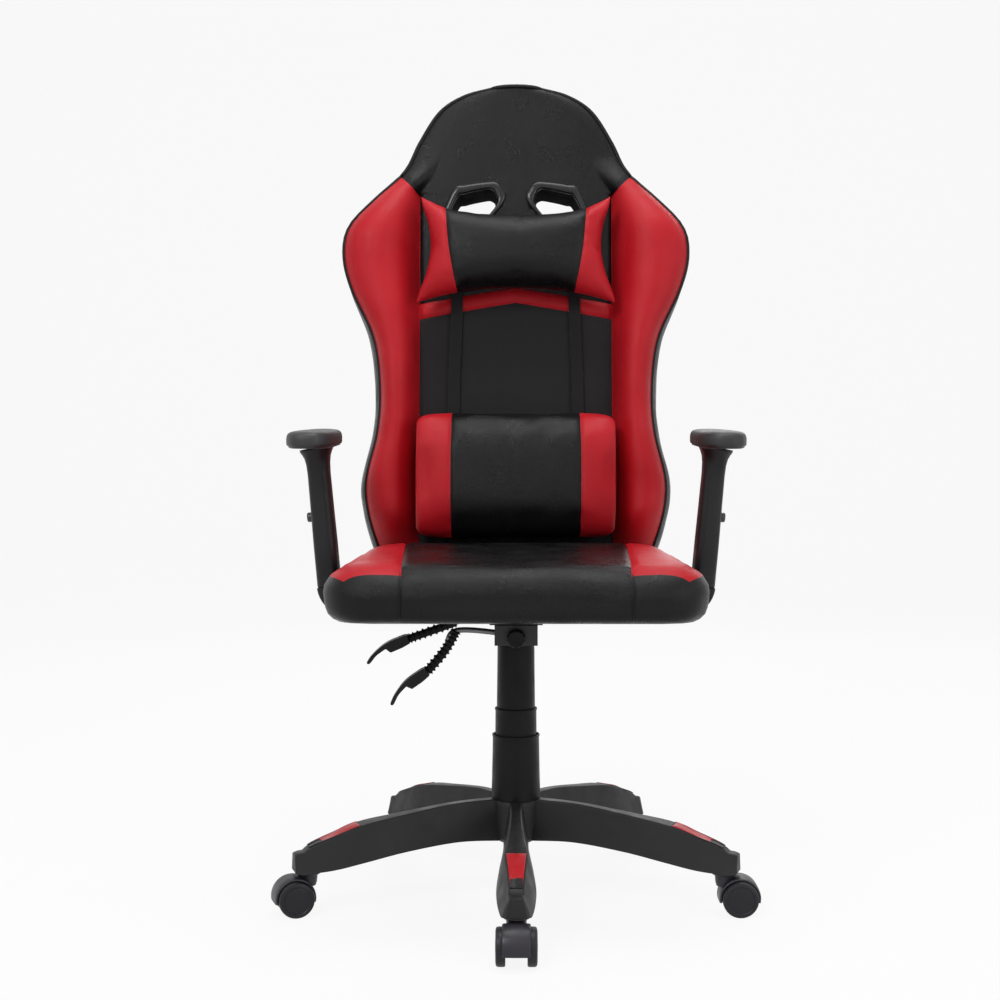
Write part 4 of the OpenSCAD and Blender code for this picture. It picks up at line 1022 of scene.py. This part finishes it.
def head_pillow_point(a, b, face):
    """a and b run from -1 to 1 across and up, and face is -1 for the front and 1 for the rear."""
    side, seam, sign = pillow_side(b), pillow_seam(b), (1 if a >= 0 else -1)
    x = pillow_x(a, seam, side)
    top, low = pillow_top(abs(x) / side), pillow_low(abs(x) / side)
    u = low + (top - low) * (b + 1) / 2
    full = max(0.0, 1 - abs(x / side) ** 4.5) ** 0.5 * max(0.0, 1 - abs(b) ** 3.0) ** 0.55
    depth = 39 * full
    if face < 0:
        ripple = 1.8 * full ** 0.3 * (1 - full) * noise.noise(Vector((x / 16, u / 26, 4)))
        fold = 2.2 * math.exp(-abs(abs(x) - seam) / 13) * noise.noise(Vector((u / 11, sign, 2))) * min(full * 2, 1)
        depth += ripple * 2 + fold - (2.6 * math.exp(-((abs(x) - seam) / 2.6) ** 2) if full > 0.1 else 0)
    else:
        depth *= 0.86
    return on_back(x, -46 + face * max(depth, 0), u)


def pillow_rings(point, a_shares, b_shares):
    rings = []
    for a in a_shares:
        ring = [point(a, b, -1) for b in b_shares] + [point(a, b, 1) for b in b_shares[::-1][1:-1]]
        rings.append(ring)
    return rings


def mirrored_shares(half):
    return [-s for s in reversed(half)] + [s for s in half if s > 0]


def banded_pillow(name, node, point):
    """A pillow with coloured ends: columns past the seams take the second material."""
    inner = [SEAM_SHARE * s for s in spread(22)]
    outer = [SEAM_SHARE + (1 - SEAM_SHARE) * s for s in spread(16)][1:]
    a_shares = mirrored_shares(inner + outer)
    b_shares = [2 * s - 1 for s in spread(44)]
    rings = pillow_rings(point, a_shares, b_shares)
    faces = ring_faces(len(rings), len(rings[0]), cap=False)
    mats = []
    for i in range(len(rings) - 1):
        end = min(abs(a_shares[i]), abs(a_shares[i + 1])) > SEAM_SHARE - 1e-6
        mats += [1 if end else 0] * len(rings[0])
    return build(name, flat_list(rings), faces, "back", [BLACK_LEATHER, RED_LEATHER], node, "leatherette_red",
                 face_mats=mats)


def lumbar_point(a, b, face):
    """A full bolster: squircle section, flat ends with a rounded seam."""
    half_w, seam, end, sign = 152, 98, 118, (1 if a >= 0 else -1)
    x = pillow_x(a, seam, half_w)
    q = max(0.0, (abs(x) - end) / (half_w - end))
    shrink = 1 - 0.17 * (1 - math.sqrt(max(0.0, 1 - q ** 3)))
    if abs(a) > 0.999:
        shrink = 0.0
        x = sign * (half_w - 4)
    theta = math.pi / 2 * (1 - b)
    c, s = math.cos(theta), math.sin(theta)
    up = math.copysign(abs(c) ** 0.62, c) * 94
    out = abs(s) ** 0.62 * 41
    crown = 1 + 0.03 * math.cos(math.pi / 2 * x / half_w)
    ripple = (1.1 * noise.noise(Vector((x / 30, up / 30, 3)))
              + 1.6 * math.exp(-abs(abs(x) - seam) / 12) * noise.noise(Vector((up / 12, sign, 8))))
    groove = 2.4 * math.exp(-((abs(x) - seam) / 2.6) ** 2)
    depth = out * shrink * crown + (ripple - groove) * min(1, out / 20) * (1 if shrink else 0)
    lift = up * (shrink ** 0.9 if shrink else 0)
    return on_back(x, -48 + face * min(depth, 42), 124 + lift)


def make_pillows():
    head = banded_pillow("head_cushion", "head_pillow", head_pillow_point)
    inflate(head, 4.5, 3.0, 7, off_the_back)
    lumbar = banded_pillow("lumbar_cushion", "lumbar_pillow", lumbar_point)
    inflate(lumbar, 5, 2.5, 5, off_the_back)


def make_straps():
    """Elastic loops: down the front under both pillows, round the lower edge, up the rear and through the slots."""
    for side, name in ((-1, "left"), (1, "right")):
        def at(u):
            return side * (91 + 5 * smoothstep(u, 420, 230))
        front = [(at(u), -7.5 - 1.5 * math.sin(math.pi * (u + 15) / 500), u) for u in np.linspace(480, -10, 40)]
        rear = [(at(u), 74.5, u) for u in np.linspace(-10, 480, 34)]
        low = [(at(0), v, -22.5 - 1.5 * math.sin(math.pi * (v + 6) / 80)) for v in np.linspace(-2, 70, 8)]
        high = [(at(480), v, 487) for v in np.linspace(70, -3, 8)]
        loop = front + low + rear + high
        rings = []
        for i, (x, v, u) in enumerate(loop):
            (x0, v0, u0), (x1, v1, u1) = loop[i - 1], loop[(i + 1) % len(loop)]
            t = Vector((0, v1 - v0, u1 - u0)).normalized()
            n = Vector((0, -t.z, t.y))
            ring = []
            for w, h in squircle(9, 0.8, 6, 16):
                ring.append(on_back(x + w, v + h * n.y, u + h * n.z))
            rings.append(ring)
        skin(f"pillow_strap_{name}", rings, "back", STRAP_ELASTIC, closed=True,
             node="pillow_straps" if side < 0 else (), slot="strap_elastic")


# Seat: outline by corner circles, as in the CAD cushion
SEAT_LO, SEAT_HI = ([1000 * c for c in corner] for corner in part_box("seat_cushion"))
SEAT_NOSE, SEAT_HEEL = 36.0, 20.0
# Height above the board's underside against the distance in from the outline, over the top edge
shoulder = curve([(0, 38), (1.5, 47), (5, 54.5), (10, 60), (17, 64.5), (27, 68.5), (42, 71.5), (65, 73.5),
                  (100, 74.5), (300, 75)], 8)
# The same below the widest line
SEAT_FLANK = [(0, 36), (0.6, 28), (3, 19), (8, 11), (15, 5), (23, 1.2), (30, 0)]
SEAT_FRONT_R, SEAT_REAR_R = 74.0, 52.0
SEAT_TAPER = 23                  # how much narrower each side is at the rear
SEAT_MID = 34                    # height of the widest line
SEAT_RIM = 9                     # how far in from the outline the top cover's edge lies


def seat_half(y):
    """Half-width of the seat at a depth: rounded front and rear corners, and a taper between."""
    front, rear = SEAT_LO[1], SEAT_HI[1]
    wide, narrow = SEAT_HI[0], SEAT_HI[0] - SEAT_TAPER
    if y < front + SEAT_FRONT_R:
        q = min(1.0, (front + SEAT_FRONT_R - y) / SEAT_FRONT_R)
        return wide - SEAT_FRONT_R * (1 - (1 - q ** 2.2) ** (1 / 2.2))
    if y > rear - SEAT_REAR_R:
        q = min(1.0, (y - rear + SEAT_REAR_R) / SEAT_REAR_R)
        return narrow - SEAT_REAR_R * (1 - math.sqrt(1 - q * q))
    return wide + (narrow - wide) * (y - front - SEAT_FRONT_R) / (rear - SEAT_REAR_R - front - SEAT_FRONT_R)


def seat_seam(y):
    """Half-width of the centre panel, a little wider to the rear."""
    return 152 + 14 * smoothstep(y, SEAT_LO[1], SEAT_HI[1])


def seat_ring(y, columns, k=1.0, push=0.0):
    """Ring across the seat at a depth: crowned top, bulging sides, nearly flat underside. k draws it to mid height."""
    half = seat_half(y + push)

    def place(x, h):
        return (x, y + push, SEAT_LO[2] + SEAT_MID + (h - SEAT_MID) * (k if h > SEAT_MID else k ** 0.4))
    top = []
    edge = half - SEAT_RIM
    to_front, to_rear = y - SEAT_LO[1], SEAT_HI[1] - y
    for side, t in columns:
        seam = min(seat_seam(y + push), 0.8 * edge)
        x = t * seam if side == 0 else side * (seam + t * (edge - seam))
        inner = half - abs(x)
        gaps = [max(g, 1.0) for g in (inner, to_front, to_rear)]
        distance = sum(g ** -3.0 for g in gaps) ** (-1 / 3.0)
        crown = shoulder(distance)
        gap = (1 - abs(t)) * seam if side == 0 else t * (edge - seam)
        crown -= (seam_dip(gap, 2.4, 2.6) - 1.1 * pucker(gap, y, 11 * (side or 1))) * k
        crown += 1.5 * rumple((x, y, 0), 75, 4) + 0.8 * rumple((x, y, 9), 22, 1) * math.exp(-inner / 30)
        top.append(place(x, crown))
    edge_h = shoulder(SEAT_RIM) - 1
    sides = [(1.5, 47), (0, 38)] + [(d, h) for d, h in SEAT_FLANK[1:]]
    sides = [(half - d + 0.9 * rumple((y, h, 30), 24),
              h + (1 - h / edge_h) * 2.4 * noise.noise(Vector((y / 30, 3, 6)))) for d, h in sides]
    right = [place(x, h) for x, h in sides]
    left = [place(-x, h) for x, h in reversed(sides)]
    low = sides[-1][0]
    under = [place(x0, -0.9) for x0 in np.linspace(1, -1, 19)[1:-1] * low]
    return top + right + under + left


NOSE_STEPS = (0.0, 0.12, 0.25, 0.38, 0.5, 0.62, 0.72, 0.8, 0.86, 0.91, 0.95, 0.985)
RED_FROM = 8                     # the coloured corners start at this step of the nose


def roll(k):
    """How far out the rounded nose is at a share of its height."""
    return (1 - k ** 2.2) ** 0.5


def make_seam(name, side):
    """Sewn seam that runs down the seat's front from the coloured corner to the underside."""
    x, mid_z = side * seat_seam(SEAT_LO[1]), SEAT_LO[2] + SEAT_MID
    top = shoulder(SEAT_NOSE) - SEAT_MID
    down = [(k, mid_z + top * k) for k in reversed(NOSE_STEPS[:RED_FROM + 1])]
    down += [(k, mid_z - SEAT_MID * k ** 0.4) for k in NOSE_STEPS[1:8]]
    path = [(x, SEAT_LO[1] + SEAT_NOSE - SEAT_NOSE * roll(k) - 0.4, z) for k, z in down]
    skin(name, tube_rings(path, 1.0, 8), "seat", BLACK_LEATHER, slot="leatherette_black")


def make_seat():
    columns = cover_columns(12, 26)
    front, rear = SEAT_LO[1] + SEAT_NOSE, SEAT_HI[1] - SEAT_HEEL
    rows = [front + (rear - front) * s for s in spread(64)]
    rings = [seat_ring(y, columns) for y in rows]
    nose = [seat_ring(rows[0], columns, k, -SEAT_NOSE * roll(k)) for k in NOSE_STEPS]
    heel = [seat_ring(rows[-1], columns, k, SEAT_HEEL * roll(k)) for k in reversed(NOSE_STEPS)]
    every = nose + rings + heel
    n = len(every[0])
    mats = []
    for i in range(len(every) - 1):
        top_row = RED_FROM <= i < len(nose) + len(rows) - 1
        for j in range(n):
            wing = j < len(columns) - 1 and columns[j][0] and columns[j + 1][0]
            mats.append(1 if top_row and wing else 0)
    seat = build("seat_cover", flat_list(every), ring_faces(len(every), n, cap=False), "seat",
                 [BLACK_LEATHER, RED_LEATHER], "seat_cushion", "leatherette_black", face_mats=mats)
    for side, end in ((-1, "left"), (1, "right")):
        make_seam(f"seat_seam_{end}", side)
    inflate(seat, 8, 2.0, 5, off_the_board)


# ---------- carried-over CAD nodes ----------

NODE_FINISH = {
    "guide_bush": BUSH_PLASTIC, "thrust_bearing": PIN_STEEL, "piston_rod": PIN_STEEL, "mech_housing": MECH_PAINT,
    "seat_plate": MECH_PAINT, "seat_bolts": BOLT_STEEL, "tension_spring": PIN_STEEL, "seat_board": BOARD_WOOD,
    "back_bar": MECH_PAINT, "back_pivot_pin": PIN_STEEL, "back_bolts": BOLT_STEEL, "back_frame": FRAME_PAINT,
}


def finish_nodes():
    for name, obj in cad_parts.items():
        mat = NODE_FINISH.get(name, PIN_STEEL)
        if not obj.material_slots:
            obj.data.materials.append(mat)
        for material_slot in obj.material_slots:
            material_slot.material = mat


# ---------- room, light and camera ----------

def camera_only(tree):
    """Background as the camera, reflections and glass see it: white, whatever the lamps do."""
    path = add(tree, "ShaderNodeLightPath")
    seen = add(tree, "ShaderNodeMath", operation="MAXIMUM")
    also = add(tree, "ShaderNodeMath", operation="MAXIMUM")
    tree.links.new(path.outputs["Is Camera Ray"], seen.inputs[0])
    tree.links.new(path.outputs["Is Glossy Ray"], seen.inputs[1])
    tree.links.new(seen.outputs["Value"], also.inputs[0])
    tree.links.new(path.outputs["Is Transmission Ray"], also.inputs[1])
    return also.outputs["Value"]


def make_room():
    """Floor that curves up into a backdrop, pale enough to read as white, with the chair's soft shadow."""
    reach, bend_y, bend_r, wall_top = 16, 3.2, 1.6, 6        # metres
    profile = [(-reach, 0), (bend_y, 0)]
    profile += [(bend_y + bend_r * math.sin(a), bend_r - bend_r * math.cos(a))
                for a in np.linspace(0.1, math.pi / 2, 14)]
    profile.append((bend_y + bend_r, wall_top))
    points = [(x, y, z) for y, z in profile for x in (-reach, reach)]
    faces = [(2 * i, 2 * i + 1, 2 * i + 3, 2 * i + 2) for i in range(len(profile) - 1)]
    mesh = bpy.data.meshes.new("studio_floor")
    mesh.from_pydata(points, [], faces)
    mesh.polygons.foreach_set("use_smooth", [True] * len(faces))
    floor = bpy.data.objects.new("studio_floor", mesh)
    bpy.context.scene.collection.objects.link(floor)
    mat, tree, shader = new_material("studio_white", (0.86, 0.86, 0.86), 0.9, specular=0.1)
    glow = add(tree, "ShaderNodeEmission", Strength=1.0)
    mix = add(tree, "ShaderNodeMixShader")
    share = add(tree, "ShaderNodeMath", operation="MULTIPLY")
    tree.links.new(camera_only(tree), share.inputs[0])
    share.inputs[1].default_value = 0.90                     # the rest is the floor's own shade and shadow
    tree.links.new(share.outputs["Value"], mix.inputs["Fac"])
    tree.links.new(shader.outputs["BSDF"], mix.inputs[1])
    tree.links.new(glow.outputs["Emission"], mix.inputs[2])
    tree.links.new(mix.outputs["Shader"], tree.nodes["Material Output"].inputs["Surface"])
    mesh.materials.append(mat)


def make_world():
    world = bpy.data.worlds.new("studio")
    bpy.context.scene.world = world
    world.use_nodes = True
    tree = world.node_tree
    back = tree.nodes["Background"]
    back.inputs["Color"].default_value = (1, 1, 1, 1)
    level = add(tree, "ShaderNodeMapRange")
    tree.links.new(camera_only(tree), level.inputs["Value"])
    level.inputs["To Min"].default_value = 0.30
    level.inputs["To Max"].default_value = 1.0
    tree.links.new(level.outputs["Result"], back.inputs["Strength"])


def lamp(name, place, target, size, power):
    data = bpy.data.lights.new(name, "AREA")
    data.shape = "RECTANGLE"
    data.size, data.size_y = size
    data.energy = power
    obj = bpy.data.objects.new(name, data)
    bpy.context.scene.collection.objects.link(obj)
    obj.location = place
    obj.rotation_euler = (Vector(target) - Vector(place)).to_track_quat("-Z", "Y").to_euler()


def make_camera():
    data = bpy.data.cameras.new("camera")
    data.sensor_width = 36
    data.lens = 63.95
    data.clip_start, data.clip_end = 0.1, 60
    camera = bpy.data.objects.new("camera", data)
    bpy.context.scene.collection.objects.link(camera)
    camera.location = (-0.0062, -2.535, 0.719)
    camera.rotation_euler = (math.radians(90 - 3.323), 0, 0.0066)
    bpy.context.scene.camera = camera


make_camera()
make_world()
make_room()
lamp("key", (-1.5, -2.6, 2.7), (0, 0, 0.75), (1.1, 0.9), 42)
lamp("fill", (2.4, -2.2, 1.5), (0, 0, 0.6), (1.6, 1.8), 20)
lamp("top", (0.1, -0.2, 3.0), (0, 0, 0.6), (1.6, 1.2), 34)
lamp("rear", (0.5, 2.6, 2.0), (0, 0, 0.7), (2.0, 1.2), 22)
bpy.context.scene.view_settings.view_transform = "Standard"

finish_nodes()
make_base()
make_casters()
make_column()
make_knob()
make_lever("height_lever", -8, 410, [(0, 0), (-45, -1), (-86, -13), (-153, -36.6)], 2, -20, 10)
make_lever("recline_lever", -62, 388, [(-14, 0), (-84, 4), (-100, -24), (-124, -53)], 1, -32, 11)
for arm_side, arm_name in ((-1, "left"), (1, "right")):
    make_arm(arm_side, arm_name)
make_seat()
make_back()
make_trims()
make_pillows()
make_straps()
